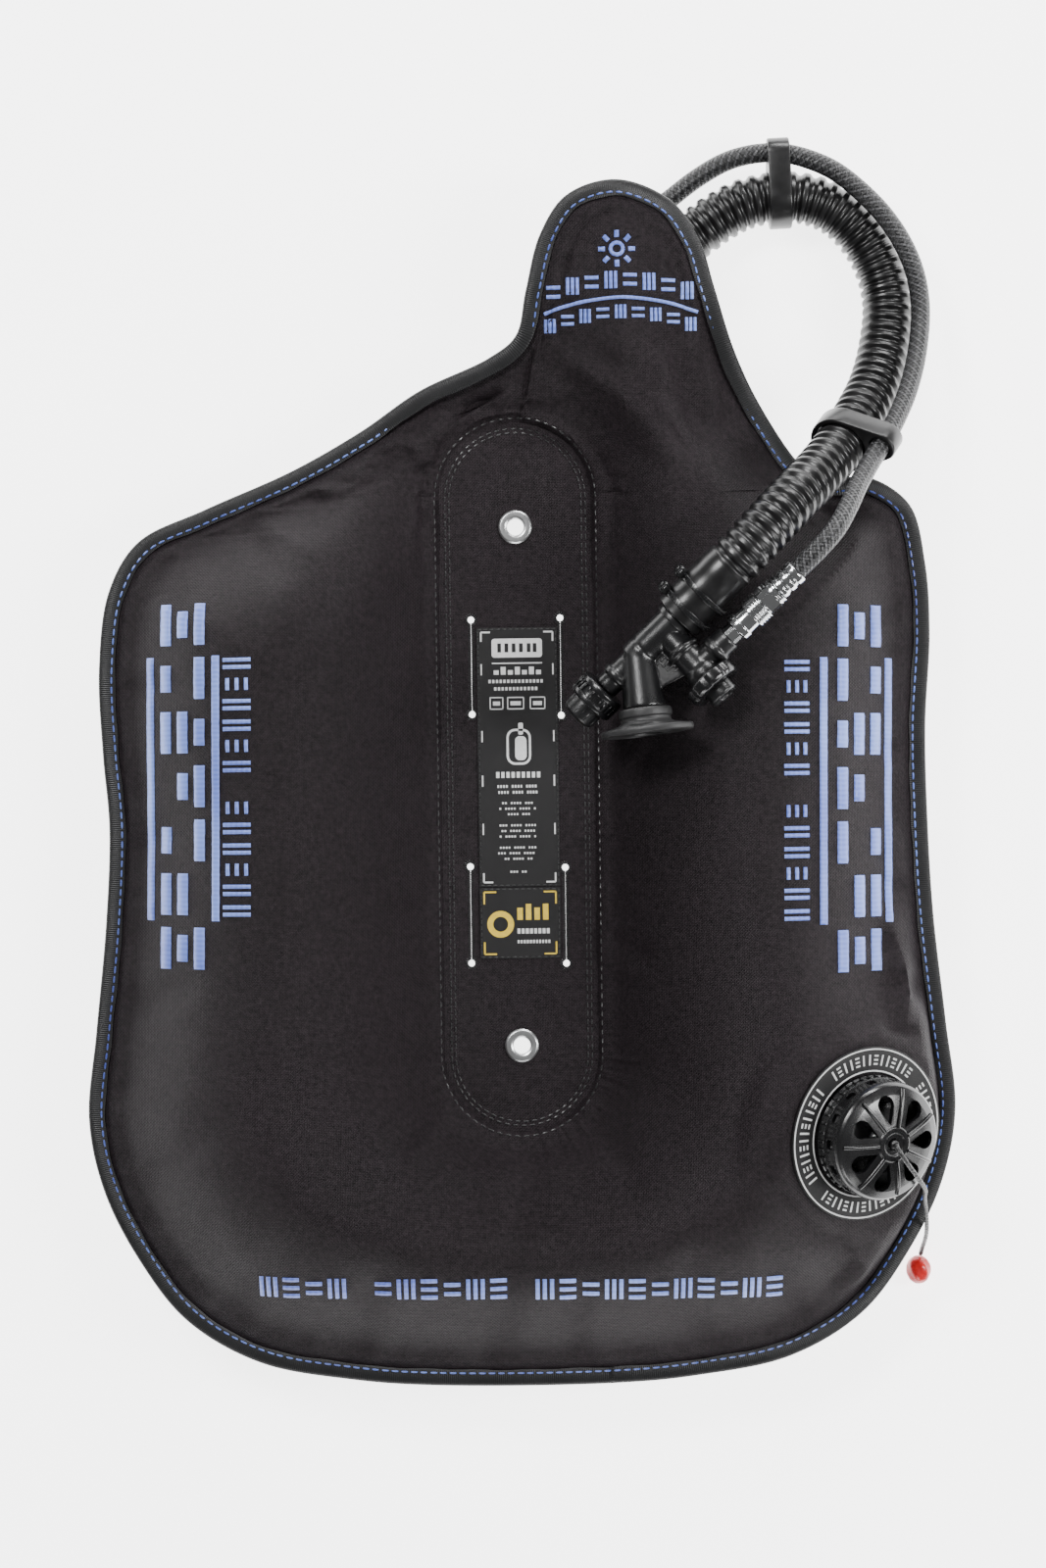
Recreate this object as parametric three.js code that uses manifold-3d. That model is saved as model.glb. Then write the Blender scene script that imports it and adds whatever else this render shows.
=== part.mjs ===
// Back-mounted buoyancy wing, lying on its tank side.
// Millimetres, +Z up. X runs across the wing, Y towards its top lobe.
// The origin is on the resting plane, midway between the two grommets.

import * as THREE from 'three';
import Module from 'manifold-3d';
import { ParametricGeometry } from 'three/addons/geometries/ParametricGeometry.js';
import { RoundedBoxGeometry } from 'three/addons/geometries/RoundedBoxGeometry.js';
import { mergeVertices } from 'three/addons/utils/BufferGeometryUtils.js';

const wasm = await Module();
wasm.setup();

// ---------------------------------------------------------------- driving dimensions

// The wing's outline and its inflated section.
const WING_WIDTH = 468;
const WING_HEIGHT = 646;
const SEAM_HEIGHT = 40;          // edge seam above the resting plane
const LOBE_LIFT = 22;            // how much higher the seam runs round the top lobe
const FRONT_RISE = 60;           // diver side above the seam
const BACK_DROP = 55;            // tank side below the seam, before it meets the ground
const LOBE_FRONT_RISE = 16;
const LOBE_BACK_DROP = 12;
const EDGE_REACH = 85;           // how far in from the edge the section keeps rising
const PANEL_REACH = 90;          // the same, measured out from the centre panel
const LOBE_START = 170;          // height on the wing where the section starts to thin
const LOBE_FULL = 262;
const SHEET = 1.0;               // shell fabric
const GAP = 0.3;                 // clearance between pieces that touch
const STATIONS = 64;             // sections round the wing

// Sewn edge.
const RIM_WIDTH = 9;
const BINDING_WALL = 0.9;
const BINDING_ROOM = 0.8;        // over the two sheets
const RIM_HALF = GAP / 2 + SHEET;
const EDGE_STEEPNESS = 9;        // limits how sharply the front rises from the rim

// Centre panel.
const PANEL_RADIUS = 41;
const PANEL_TOP_END = 155;       // centres of the panel's two round ends
const PANEL_BOTTOM_END = -145;
const PANEL_THICKNESS = 3;
const GROMMET_SPACING = 279.4;
const GROMMET_HOLE = 4.4;
const GROMMET_BARREL = 5.3;
const GROMMET_FLANGE = 9.25;
const GROMMET_PLATE = 1.2;
const SLOT_HALF_WIDTH = 1.2;
const SLOT_EYE = 2.3;
const SLOTS = [[-24.5, 39, 90], [23.5, 38, 90.5], [-26.5, -95, -43], [24.6, -95.7, -44]];
const LABEL_WIDTH = 43.4;
const LABEL_LENGTH = 139.5;
const LABEL_TOP = 85.5;
const PATCH_LENGTH = 38.2;
const LABEL_THICKNESS = 0.6;

// Bladder.
const BLADDER_WALL = 0.8;
const BLADDER_TOP_ROOM = 7;      // from the shell's outer face to the bladder
const BLADDER_BOTTOM_ROOM = 8;
const BLADDER_LEAST = 1.5;
const BLADDER_LIFT = 0.9;        // its own seam above the shell's
const ELBOW_ROOM = 4.5;          // from the shell's seat to the bladder's, filled by the gasket
const BLADDER_EDGE_INSET = 22;
const BLADDER_PANEL_INSET = 6;

// Zip in the tank side.
const ZIP_Y = -294;
const ZIP_LENGTH = 190;
const ZIP_FLAT = 90;              // the cloth is straight this far each side of the middle
const ZIP_BLEND = 132;
const TAPE_WIDTH = 11;
const TAPE_THICKNESS = 0.8;
const CHAIN_WIDTH = 5;
const CHAIN_THICKNESS = 1.6;
const ZIP_STEPS = 14;
const SLIDER_LENGTH = 11;
const SLIDER_WIDTH = 9;

// Dump valve. Heights are above the shell's outer face.
const VALVE = new THREE.Vector3(181, -186, 77);
const VALVE_DOWNHILL = new THREE.Vector2(0.9536, -0.3011);
const VALVE_SLOPE = 0.6;
const VALVE_FLAT = 50;           // radius of the flat patch under the valve
const VALVE_BLEND = 84;
const PORT_RADIUS = 24;
const NECK_RADIUS = 27;
const BASE_RADIUS = 32;
const RING_LABEL_RADIUS = 47;
const DUMP_FLANGE_RADIUS = 36;
const FLANGE_ROOM = 1.4;          // between the shell and the flange welded to the bladder
const BASE_BOTTOM = 1.9;
const BASE_TOP = 9;
const NECK_TOP = 5;
const SEAT_RADIUS = 17;
const CAP_TOP = 27.5;
const CAP_WALL = 4;
const CAP_SPOKES = 7;
const CAP_VENTS = 14;
const POPPET_RADIUS = 20;
const STEM_RADIUS = 2.5;

// Elbow under the lobe.
const ELBOW = new THREE.Vector2(58, 275);
const ELBOW_FLAT = 26;
const ELBOW_BLEND = 40;
const ELBOW_BORE = 10;
const ELBOW_STUB = 13;
const ELBOW_NUT = 22;
const ELBOW_FLANGE = 21;
const ELBOW_TUBE = 12.5;
const ELBOW_HEADING = Math.PI / 6;
const ELBOW_SPIGOT_HEIGHT = 17;

// Hoses. Their routes are lists of points on the centre line.
const HOSE_RADIUS = 14;
const BARREL_RADIUS = 9;          // the inflator's barrel, pushed into the hose
const SPIGOT_ROOM = 1.5;
const HOSE_BORE = BARREL_RADIUS + SPIGOT_ROOM;
const LP_RADIUS = 5.25;
const BAND_WALL = 1.6;
const BAND_LENGTH = 12;
const BAND_ROOM = 1.45;          // between the main hose and its eye
const LP_BAND_ROOM = 1.74;
const TIE_ROOM = 0.9;
const TIE_RADIUS = HOSE_RADIUS + TIE_ROOM;
const CORRUGATED_ROUTE = [
  [71.5, 282.8, 17], [84, 290, 17], [99, 299, 16.9], [112.2, 308.2, 17], [126.2, 315.4, 17.1],
  [142.9, 318.9, 17.1], [161.1, 318, 17], [177.5, 311, 16.6], [190, 299, 16], [199.5, 283, 15.6],
  [204.5, 262, 17.5], [201.8, 237, 25], [195, 214.5, 36], [185, 196, 50], [173, 178.5, 66.5],
  [160, 163, 83], [146.5, 149.5, 98], [133.5, 136, 108], [121.4, 123.2, 112], [110.5, 112.6, 110.7],
  [98.4, 101, 107.8], [84.4, 87.6, 104.55],
];
const LP_ROUTE = [
  [14, 128, 8.6], [14, 142, 8.2], [14, 158, 6.6], [15, 178, 5.7], [18, 205, 5.7], [22, 235, 5.7],
  [29, 262, 5.7], [40, 283, 6], [58, 300, 7], [84.5, 318.5, 9], [102, 331, 13], [118, 339, 19],
  [133, 342, 24], [148, 341.8, 26], [161, 338.4, 27.5], [175, 331.8, 29], [188, 321.5, 30],
  [201.3, 307.6, 30.5], [211.7, 291.7, 31], [218.4, 274.8, 31], [220.8, 257, 32.5], [218.4, 234, 40],
  [212, 211, 52], [202, 190, 67], [190.5, 172.5, 82.5], [180.5, 156.5, 98.5], [174, 144, 111],
  [166.5, 131.5, 121], [157.2, 120.8, 123.4], [146.2, 110.3, 120.8],
];
const BANDS = [['band_upper', 0.2], ['band_lower', 0.648]];   // shares of the main hose's length
const ELBOW_TIES = [['elbow_tie_1', 0.022], ['elbow_tie_2', 0.046]];
const CUFF_TIES = [['hose_tie_1', 17], ['hose_tie_2', 28.7]];   // along the inflator's barrel
const CUFF_TIE_TURN = 0.6;
const TIE_WALL = 1.4;
const TIE_WIDTH = 3.2;
const TIE_HEAD = 6;

// Power inflator, in its own frame: x towards the hose, y to its left, z away from the wing.
const INFLATOR = new THREE.Vector3(77, 80.5, 102.8);
const INFLATOR_ALONG = new THREE.Vector3(0.72, 0.69, 0.17);
const INFLATOR_UP = new THREE.Vector3(-0.28, 0.046, 1);
const SPIGOT_END = 40;
const BARREL_STEP = -15;
const LOWER_BARREL_RADIUS = 6.8;
const LOWER_BARREL_END = -43;
const LOWER_BORE = 5;
const UPPER_BORE = 7.2;
const COLLAR_RADIUS = 13;
const COLLAR_LENGTH = 12;
const BUTTON_RADIUS = 9.3;
const BUTTON_STAND = 9.5;
const BUTTON_ROOM = 0.5;
const BUTTON_FACE = 2.4;
const BUTTON_WALL = 1.8;
const COLLAR_FLOOR = 2.6;
const EXHAUST_STEM = 1.5;
const SPRING_WIRE = 0.6;
const EXHAUST_TRAVEL = 5;
const BRANCH_RADIUS = 8;
const BRANCH_END = 34;
const BRANCH_BORE = 5.2;
const INFLATE_CAP_RADIUS = 15;
const INFLATE_CAP_DEPTH = 8;
const INFLATE_BUTTON_RADIUS = 8;
const INFLATE_BUTTON_STAND = 6;
const INFLATE_TRAVEL = 3;
const INFLATE_STEM = 1.5;
const QD_OFFSET = 27;
const QD_STUB_RADIUS = 7;
const QD_STUB_END = 22.5;
const QD_BODY_START = 28.3;
const QD_BODY_END = 58;
const QD_RADIUS = 7.8;
const QD_GROOVE = 6.9;
const QD_BORE = 3.4;
const QD_COLLAR_RADIUS = 8.6;
const QD_COLLAR_LENGTH = 8;
const QD_HEX = 8.4;
const FERRULE_RADIUS = 6.8;
const FERRULE_LENGTH = 14;
const MOUTH_ORIGIN = -18.6;
const MOUTH_ANGLE = Math.atan2(-0.805, -0.593);
const MOUTH_TRUNK_END = 28;
const MOUTH_BORE = 8;
const MOUTH_COLLAR = 9;
const MOUTH_FLANGE = 4.5;

// ---------------------------------------------------------------- geometry helpers

const clamp = THREE.MathUtils.clamp;
const smooth = THREE.MathUtils.smoothstep;
const vector = (point) => new THREE.Vector3(...point);

/** Turns a closed geometry's faces outwards and leaves only its positions. */
function closed(geometry) {
  const bare = geometry.clone();
  bare.deleteAttribute('normal');
  bare.deleteAttribute('uv');
  const merged = mergeVertices(bare, 1e-3);
  const at = merged.attributes.position;
  const index = merged.index.array;
  const [a, b, c] = [new THREE.Vector3(), new THREE.Vector3(), new THREE.Vector3()];
  let volume = 0;
  for (let i = 0; i < index.length; i += 3) {
    a.fromBufferAttribute(at, index[i]);
    b.fromBufferAttribute(at, index[i + 1]);
    c.fromBufferAttribute(at, index[i + 2]);
    volume += a.dot(b.cross(c));
  }
  if (volume < 0) {
    for (let i = 0; i < index.length; i += 3) [index[i], index[i + 1]] = [index[i + 1], index[i]];
  }
  return merged;
}

function toSolid(geometry) {
  const body = closed(geometry);
  return new wasm.Manifold(new wasm.Mesh({
    numProp: 3,
    vertProperties: new Float32Array(body.attributes.position.array),
    triVerts: new Uint32Array(body.index.array),
  }));
}

function toGeometry(solid) {
  const mesh = solid.getMesh();
  const geometry = new THREE.BufferGeometry();
  geometry.setAttribute('position', new THREE.BufferAttribute(new Float32Array(mesh.vertProperties), 3));
  geometry.setIndex(new THREE.BufferAttribute(new Uint32Array(mesh.triVerts), 1));
  geometry.computeVertexNormals();
  return geometry;
}

function join(...pieces) {
  return toGeometry(pieces.map(toSolid).reduce((sum, piece) => sum.add(piece)));
}

function cut(piece, ...tools) {
  return toGeometry(tools.map(toSolid).reduce((rest, tool) => rest.subtract(tool), toSolid(piece)));
}

/** A body of revolution about Z, from [radius, height] points. */
function turned(profile, segments = 16) {
  const points = profile.map(([radius, height]) => new THREE.Vector2(radius, height));
  return closed(new THREE.LatheGeometry(points, segments).rotateX(Math.PI / 2));
}

/** A solid rod about Z between two heights. */
function rod(radius, from, to, segments = 12) {
  return turned([[0, from], [radius, from], [radius, to], [0, to]], segments);
}

/** A ring about Z with a rectangular section. */
function ring(inner, outer, from, to, segments = 16) {
  return turned([[inner, from], [outer, from], [outer, to], [inner, to], [inner, from]], segments);
}

/** A plate in XY between two heights. */
function plate(shape, from, to, curveSegments = 10) {
  const options = { depth: to - from, bevelEnabled: false, curveSegments };
  return new THREE.ExtrudeGeometry(shape, options).translate(0, 0, from);
}

function box(width, depth, height) {
  return new THREE.BoxGeometry(width, depth, height);
}

function circlePath(radius, sides, x = 0, y = 0) {
  return new THREE.Path(Array.from({ length: sides }, (_, i) => {
    const angle = (2 * Math.PI * i) / sides;
    return new THREE.Vector2(x + radius * Math.cos(angle), y + radius * Math.sin(angle));
  }));
}

function circleShape(radius, sides, bore = 0) {
  const shape = new THREE.Shape(circlePath(radius, sides).getPoints());
  if (bore > 0) shape.holes.push(circlePath(bore, sides));
  return shape;
}

/** A hose or cord along a list of points. */
function hose(route, radius, sides, steps, bore = 0) {
  const extrudePath = new THREE.CatmullRomCurve3(route.map(vector), false, 'centripetal');
  return new THREE.ExtrudeGeometry(circleShape(radius, sides, bore), { steps, extrudePath });
}

/** A coil spring about Z. */
function coil(radius, wire, from, to, turns) {
  const points = [];
  const steps = turns * 8;
  for (let i = 0; i <= steps; i += 1) {
    const angle = (2 * Math.PI * i) / 8;
    points.push([radius * Math.cos(angle), radius * Math.sin(angle), from + ((to - from) * i) / steps]);
  }
  return hose(points, wire, 4, steps);
}

/**
 * A band closed on itself, from one loop of points for each station. Where the loop is a sheet's
 * outer points and then its inner ones, both faces split their patches alike and keep their distance.
 */
function loft(loops, isSheet = false) {
  const count = loops.length;
  const size = loops[0].length;
  const place = (u, v, target) => {
    target.copy(loops[Math.round(u * count) % count][Math.round(v * size) % size]);
  };
  const band = new ParametricGeometry(place, count, size);
  const corners = band.index.array;
  for (let at = isSheet ? 3 * size * count : corners.length; at < corners.length; at += 6) {
    const [a, b, d, , c] = corners.slice(at, at + 5);
    corners.set([a, b, c, a, c, d], at);
  }
  return closed(band);
}

/** A strip open at both ends, from one loop of points for each section. */
function strip(loops) {
  const last = loops.length - 1;
  const size = loops[0].length;
  const centre = (loop) => loop.reduce((sum, p) => sum.add(p), new THREE.Vector3()).divideScalar(size);
  const ends = [centre(loops[0]), centre(loops[last])];
  const place = (u, v, target) => {
    const row = Math.round(u * (last + 2)) - 1;
    if (row < 0 || row > last) target.copy(ends[row < 0 ? 0 : 1]);
    else target.copy(loops[row][Math.round(v * size) % size]);
  };
  return closed(new ParametricGeometry(place, last + 2, size));
}

function finish(color, roughness, metalness = 0) {
  return new THREE.MeshStandardMaterial({ color, roughness, metalness });
}

const FABRIC = () => finish(0x1c181a, 0.9);
const TRIM = () => finish(0x101012, 0.55);
const MOULDED = () => finish(0x121214, 0.5);
const RUBBER = () => finish(0x141414, 0.65);
const STEEL = () => finish(0xc8c9cc, 0.25, 1);
const BRAID = () => finish(0x26262a, 0.6);

const part = new THREE.Group();

function add(name, geometry, material, group = part) {
  const mesh = new THREE.Mesh(geometry, material);
  mesh.name = name;
  group.add(mesh);
  return mesh;
}

// ---------------------------------------------------------------- the wing's surfaces

// The lower half is symmetric. The top lobe leans to the right.
const LOWER_SIDE = [
  [48, -322.5], [92, -319], [143, -309], [182, -286], [208, -252], [226, -215], [233.5, -177],
  [229, -130], [223, -72], [220.5, -20],
];
const UPPER = [
  [220, 30], [223, 80], [221, 118], [213, 149], [191, 164], [169, 163.5], [156.8, 169], [135, 200],
  [119, 232], [108.5, 264], [101, 289], [86, 311], [57, 323], [30, 315], [15.5, 294], [7.5, 264],
  [2, 241], [-12, 230], [-50.5, 213], [-82.4, 192], [-119, 171.6], [-167, 151], [-203, 134],
  [-219, 108], [-225, 66], [-223.5, 20],
];
const mirrored = [...LOWER_SIDE].reverse().map(([x, y]) => [-x, y]);
const outline = new THREE.CatmullRomCurve3(
  [...LOWER_SIDE, ...UPPER, ...mirrored].map(([x, y]) => (
    new THREE.Vector3((x * WING_WIDTH) / 468, (y * WING_HEIGHT) / 646, 0))),
  true,
  'centripetal',
);
const edge = outline.getSpacedPoints(240);

function distanceToEdge(x, y) {
  const line = new THREE.Line3();
  const here = new THREE.Vector3(x, y, 0);
  const near = new THREE.Vector3();
  let least = Infinity;
  for (let i = 0; i < edge.length - 1; i += 1) {
    line.set(edge[i], edge[i + 1]).closestPointToPoint(here, true, near);
    least = Math.min(least, near.distanceTo(here));
  }
  return least;
}

const panelAxis = (y) => clamp(y, PANEL_BOTTOM_END, PANEL_TOP_END);
const pillow = (distance, reach) => 1 - (1 - clamp(distance / reach, 0, 1)) ** 2;
const seamHeight = (y) => SEAM_HEIGHT + LOBE_LIFT * smooth(y, 190, 270);

function fullness(x, y) {
  const fromPanel = Math.hypot(x, y - panelAxis(y)) - PANEL_RADIUS;
  const fromRim = distanceToEdge(x, y) - RIM_WIDTH;
  return pillow(fromPanel, PANEL_REACH) * pillow(fromRim, EDGE_REACH);
}

/** The outer face of the diver side. It is flat under the dump valve. */
function frontFace(x, y) {
  const rise = THREE.MathUtils.lerp(FRONT_RISE, LOBE_FRONT_RISE, smooth(y, LOBE_START, LOBE_FULL));
  const seam = seamHeight(y) + RIM_HALF;
  const soft = seam + rise * fullness(x, y);
  const away = new THREE.Vector2(x - VALVE.x, y - VALVE.y);
  const downhill = away.dot(VALVE_DOWNHILL);
  const flat = VALVE.z - VALVE_SLOPE * downhill;
  const radius = Math.hypot(away.length(), VALVE_SLOPE * downhill);
  const height = THREE.MathUtils.lerp(flat, soft, smooth(radius, VALVE_FLAT, VALVE_BLEND));
  const inside = Math.max(0, distanceToEdge(x, y) - RIM_WIDTH);
  return clamp(height, seam, seam + EDGE_STEEPNESS * Math.sqrt(inside));
}

/** How nearly the tank side keeps one section along the zip, so that the slider runs straight. */
const levelled = (x, y) => smooth(-y, 256, 276) * (1 - smooth(Math.abs(x), ZIP_FLAT, ZIP_BLEND));

/** The outer face of the tank side. It rests on the ground and is flat round the elbow. */
function backFace(x, y) {
  const drop = THREE.MathUtils.lerp(BACK_DROP, LOBE_BACK_DROP, smooth(y, LOBE_START, LOBE_FULL - 12));
  const seam = seamHeight(y) - RIM_HALF;
  const soft = Math.max(0, seam - drop * fullness(x * (1 - levelled(x, y)), y));
  const radius = Math.hypot(x - ELBOW.x, y - ELBOW.y);
  const height = THREE.MathUtils.lerp(elbowSeat, soft, smooth(radius, ELBOW_FLAT, ELBOW_BLEND));
  return Math.min(height, seam);
}
const elbowSeat = seamHeight(ELBOW.y) - RIM_HALF - LOBE_BACK_DROP * fullness(ELBOW.x, ELBOW.y);

/** Plan points on one section: the panel's edge, the edge of the wing and its outward direction. */
const rims = Array.from({ length: STATIONS }, (_, i) => outline.getPointAt(i / STATIONS));
const offCentre = new THREE.Box3().setFromPoints(rims).getCenter(new THREE.Vector3());
const stations = rims.map((point, i) => {
  const rim = point.clone().sub(offCentre);
  const along = outline.getTangentAt(i / STATIONS);
  const axis = new THREE.Vector3(0, panelAxis(rim.y), 0);
  const out = rim.clone().sub(axis).normalize();
  return { rim, axis, out, normal: new THREE.Vector3(along.y, -along.x, 0).normalize() };
});
const fromPanelAxis = ({ axis, out }, distance) => axis.clone().addScaledVector(out, distance);
const insideRim = ({ rim, normal }, distance) => rim.clone().addScaledVector(normal, -distance);
const raised = (point, height) => new THREE.Vector3(point.x, point.y, height);

const SPREAD = [0, 0.1, 0.28, 0.55, 0.8, 0.94, 1];

/** One shell sheet: face(x, y) is its outer face, and side is +1 in front and -1 behind. */
function shellSheet(face, side) {
  return loft(stations.map((station) => {
    const inner = fromPanelAxis(station, PANEL_RADIUS);
    const outer = insideRim(station, RIM_WIDTH);
    const rimFace = seamHeight(station.rim.y) + side * RIM_HALF;
    const outside = SPREAD.map((share) => {
      const at = inner.clone().lerp(outer, share);
      return raised(at, share === 1 ? rimFace : face(at.x, at.y));
    });
    outside.push(raised(insideRim(station, BINDING_WALL + GAP), rimFace));
    const inside = outside.map((point) => raised(point, point.z - side * SHEET)).reverse();
    return [...outside, ...inside];
  }), true);
}

/** The U-shaped tape sewn over both sheets' rims. */
function edgeBinding() {
  const inner = RIM_HALF + BINDING_ROOM;
  const outer = inner + BINDING_WALL;
  return loft(stations.map((station) => {
    const seam = seamHeight(station.rim.y);
    const mouth = insideRim(station, RIM_WIDTH - GAP);
    const fold = insideRim(station, BINDING_WALL);
    const section = [
      [mouth, inner], [mouth, outer], [station.rim, outer], [station.rim, -outer],
      [mouth, -outer], [mouth, -inner], [fold, -inner], [fold, inner],
    ];
    return section.map(([at, height]) => raised(at, seam + height));
  }));
}

/** A point and its neighbours, so that the loose bladder keeps clear of a curved sheet. */
const around = ({ x, y }, reach) => [
  [x, y], [x + reach, y], [x - reach, y], [x, y + reach], [x, y - reach],
];

/** One closed skin of the bladder, shrunk by a distance from its outer face. */
function bladderSkin(shrink) {
  const shares = [0, 0.25, 0.6, 1];
  return loft(stations.map((station) => {
    const inner = fromPanelAxis(station, PANEL_RADIUS + BLADDER_PANEL_INSET);
    const outer = insideRim(station, BLADDER_EDGE_INSET);
    const section = shares.map((share) => {
      const at = inner.clone().lerp(outer, clamp(share, 0.03 * shrink, 1 - 0.03 * shrink));
      const seam = seamHeight(at.y) + BLADDER_LIFT;
      const front = Math.min(...around(at, 7).map(([x, y]) => frontFace(x, y)));
      const back = Math.max(...around(at, 14).map(([x, y]) => backFace(x, y)));
      const up = Math.max(BLADDER_LEAST, front - seam - BLADDER_TOP_ROOM);
      const down = Math.max(BLADDER_LEAST, seam - back - BLADDER_BOTTOM_ROOM);
      return [raised(at, seam + up - shrink), raised(at, seam - down + shrink)];
    });
    return [...section.map(([top]) => top), ...section.map(([, bottom]) => bottom).reverse()];
  }));
}

// ---------------------------------------------------------------- frames of the turned sub-assemblies

const valveAxis = new THREE.Vector3(
  VALVE_SLOPE * VALVE_DOWNHILL.x, VALVE_SLOPE * VALVE_DOWNHILL.y, 1,
).normalize();
const valve = new THREE.Group();
valve.position.copy(VALVE);
valve.quaternion.setFromUnitVectors(new THREE.Vector3(0, 0, 1), valveAxis);
part.add(valve);

const inflator = new THREE.Group();
const along = INFLATOR_ALONG.clone().normalize();
const left = INFLATOR_UP.clone().cross(along).normalize();
inflator.position.copy(INFLATOR);
inflator.quaternion.setFromRotationMatrix(
  new THREE.Matrix4().makeBasis(along, left, along.clone().cross(left)),
);
part.add(inflator);

/** Puts a tool made in a group's frame into the wing's frame. */
function inWing(geometry, group) {
  group.updateMatrix();
  return geometry.applyMatrix4(group.matrix);
}

/** Lays a body made about Z along the inflator's x, or at an angle in its plane. */
function lying(geometry, angle = 0, x = 0, y = 0) {
  return geometry.rotateY(Math.PI / 2).rotateZ(angle).translate(x, y, 0);
}

// ---------------------------------------------------------------- shell, panel and bladder

const bladderFloor = elbowSeat + ELBOW_ROOM;
const flangeTop = -SHEET - FLANGE_ROOM;
const flangeBottom = flangeTop - 2.4;
const onElbow = (geometry) => geometry.translate(ELBOW.x, ELBOW.y, 0);
const onValve = (geometry) => inWing(geometry, valve);

/** Lets a flat round seat with a bore and a short wall into a curved sheet, where place puts it. */
function withSeat(sheet, place, { bore, radius, top, thickness, wallFrom, wallTo, clearFrom, clearTo }) {
  const wall = 1;
  const bottom = top - thickness;
  const seat = turned([
    [bore, bottom], [radius, bottom], [radius, wallFrom], [radius + wall, wallFrom],
    [radius + wall, wallTo], [radius, wallTo], [radius, top], [bore, top], [bore, bottom],
  ], 24);
  const opened = cut(sheet, place(rod(radius + wall / 2, clearFrom, clearTo, 24)));
  return join(opened, place(seat));
}

/** A strip of the zip, laid on the tank side's outer face. */
function zipStrip(fromY, toY, stand, thickness, length = ZIP_LENGTH) {
  const loops = [];
  for (let i = 0; i <= ZIP_STEPS; i += 1) {
    const x = length * (i / ZIP_STEPS - 0.5);
    const [low, high] = [fromY, toY].map((y) => backFace(x, y) - stand);
    loops.push([
      [x, fromY, low], [x, toY, high], [x, toY, high - thickness], [x, fromY, low - thickness],
    ].map(vector));
  }
  return strip(loops);
}

function zipOpening() {
  const half = CHAIN_WIDTH / 2 + 0.6;
  const length = ZIP_LENGTH - 12;
  return box(length, 2 * half, 60).translate(0, ZIP_Y, 20);
}

add(
  'shell_front',
  withSeat(shellSheet(frontFace, 1), onValve, {
    bore: NECK_RADIUS + 0.4,
    radius: RING_LABEL_RADIUS + 0.6,
    top: 0,
    thickness: SHEET,
    wallFrom: -3.5,
    wallTo: 1.6,
    clearFrom: -7,
    clearTo: 12,
  }),
  FABRIC(),
);
add(
  'shell_back',
  withSeat(cut(shellSheet(backFace, -1), zipOpening()), onElbow, {
    bore: ELBOW_STUB + GAP,
    radius: ELBOW_NUT + 3,
    top: elbowSeat + SHEET,
    thickness: SHEET,
    wallFrom: elbowSeat - 2.3,
    wallTo: elbowSeat + 2.9,
    clearFrom: elbowSeat - 8,
    clearTo: elbowSeat + 7,
  }),
  FABRIC(),
);
add('edge_binding', edgeBinding(), TRIM());

function bladderBody() {
  const ring = cut(bladderSkin(0), bladderSkin(BLADDER_WALL));
  const ported = withSeat(ring, onValve, {
    bore: PORT_RADIUS,
    radius: DUMP_FLANGE_RADIUS + 2,
    top: flangeBottom - GAP,
    thickness: BLADDER_WALL,
    wallFrom: flangeBottom - 8,
    wallTo: flangeBottom + 0.6,
    clearFrom: flangeBottom - 7,
    clearTo: 6,
  });
  return withSeat(ported, onElbow, {
    bore: ELBOW_STUB + GAP,
    radius: ELBOW_FLANGE + 1,
    top: bladderFloor + BLADDER_WALL,
    thickness: BLADDER_WALL,
    wallFrom: bladderFloor,
    wallTo: bladderFloor + 6,
    clearFrom: bladderFloor - 8,
    clearTo: bladderFloor + 7,
  });
}
add('bladder', bladderBody(), finish(0x9a9c9a, 0.6));

/** A slit with a round eye at each end. */
function slotPath([x, from, to]) {
  const spread = Math.asin(SLOT_HALF_WIDTH / SLOT_EYE);
  const path = new THREE.Path();
  path.absarc(x, to, SLOT_EYE, -Math.PI / 2 + spread, 1.5 * Math.PI - spread, false);
  path.absarc(x, from, SLOT_EYE, Math.PI / 2 + spread, 2.5 * Math.PI - spread, false);
  path.closePath();
  return path;
}

const panelTop = SEAM_HEIGHT + PANEL_THICKNESS / 2;
const panelBottom = SEAM_HEIGHT - PANEL_THICKNESS / 2;
const panelShape = new THREE.Shape(stations.map((station) => {
  const at = fromPanelAxis(station, PANEL_RADIUS - GAP);
  return new THREE.Vector2(at.x, at.y);
}));
for (const y of [GROMMET_SPACING / 2, -GROMMET_SPACING / 2]) {
  panelShape.holes.push(circlePath(GROMMET_BARREL + GAP, 16, 0, y));
}
panelShape.holes.push(...SLOTS.map(slotPath));
add('centre_panel', closed(plate(panelShape, panelBottom, panelTop, 4)), FABRIC());

const eyeletTop = panelTop + GAP + GROMMET_PLATE;
const washerTop = panelBottom - GAP;
const washerBottom = washerTop - GROMMET_PLATE;
const eyelet = [
  [GROMMET_HOLE, washerBottom], [GROMMET_BARREL, washerBottom], [GROMMET_BARREL, panelTop + GAP],
  [GROMMET_FLANGE, panelTop + GAP], [GROMMET_FLANGE - 1.2, eyeletTop], [GROMMET_BARREL + 0.4, eyeletTop],
  [GROMMET_HOLE, eyeletTop - 0.8], [GROMMET_HOLE, washerBottom],
];
for (const [name, y] of [['grommet_upper', GROMMET_SPACING / 2], ['grommet_lower', -GROMMET_SPACING / 2]]) {
  add(name, turned(eyelet), STEEL()).position.y = y;
  const washer = ring(GROMMET_BARREL + GAP, GROMMET_FLANGE, washerBottom, washerTop);
  add(`${name}_washer`, washer, STEEL()).position.y = y;
}

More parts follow.
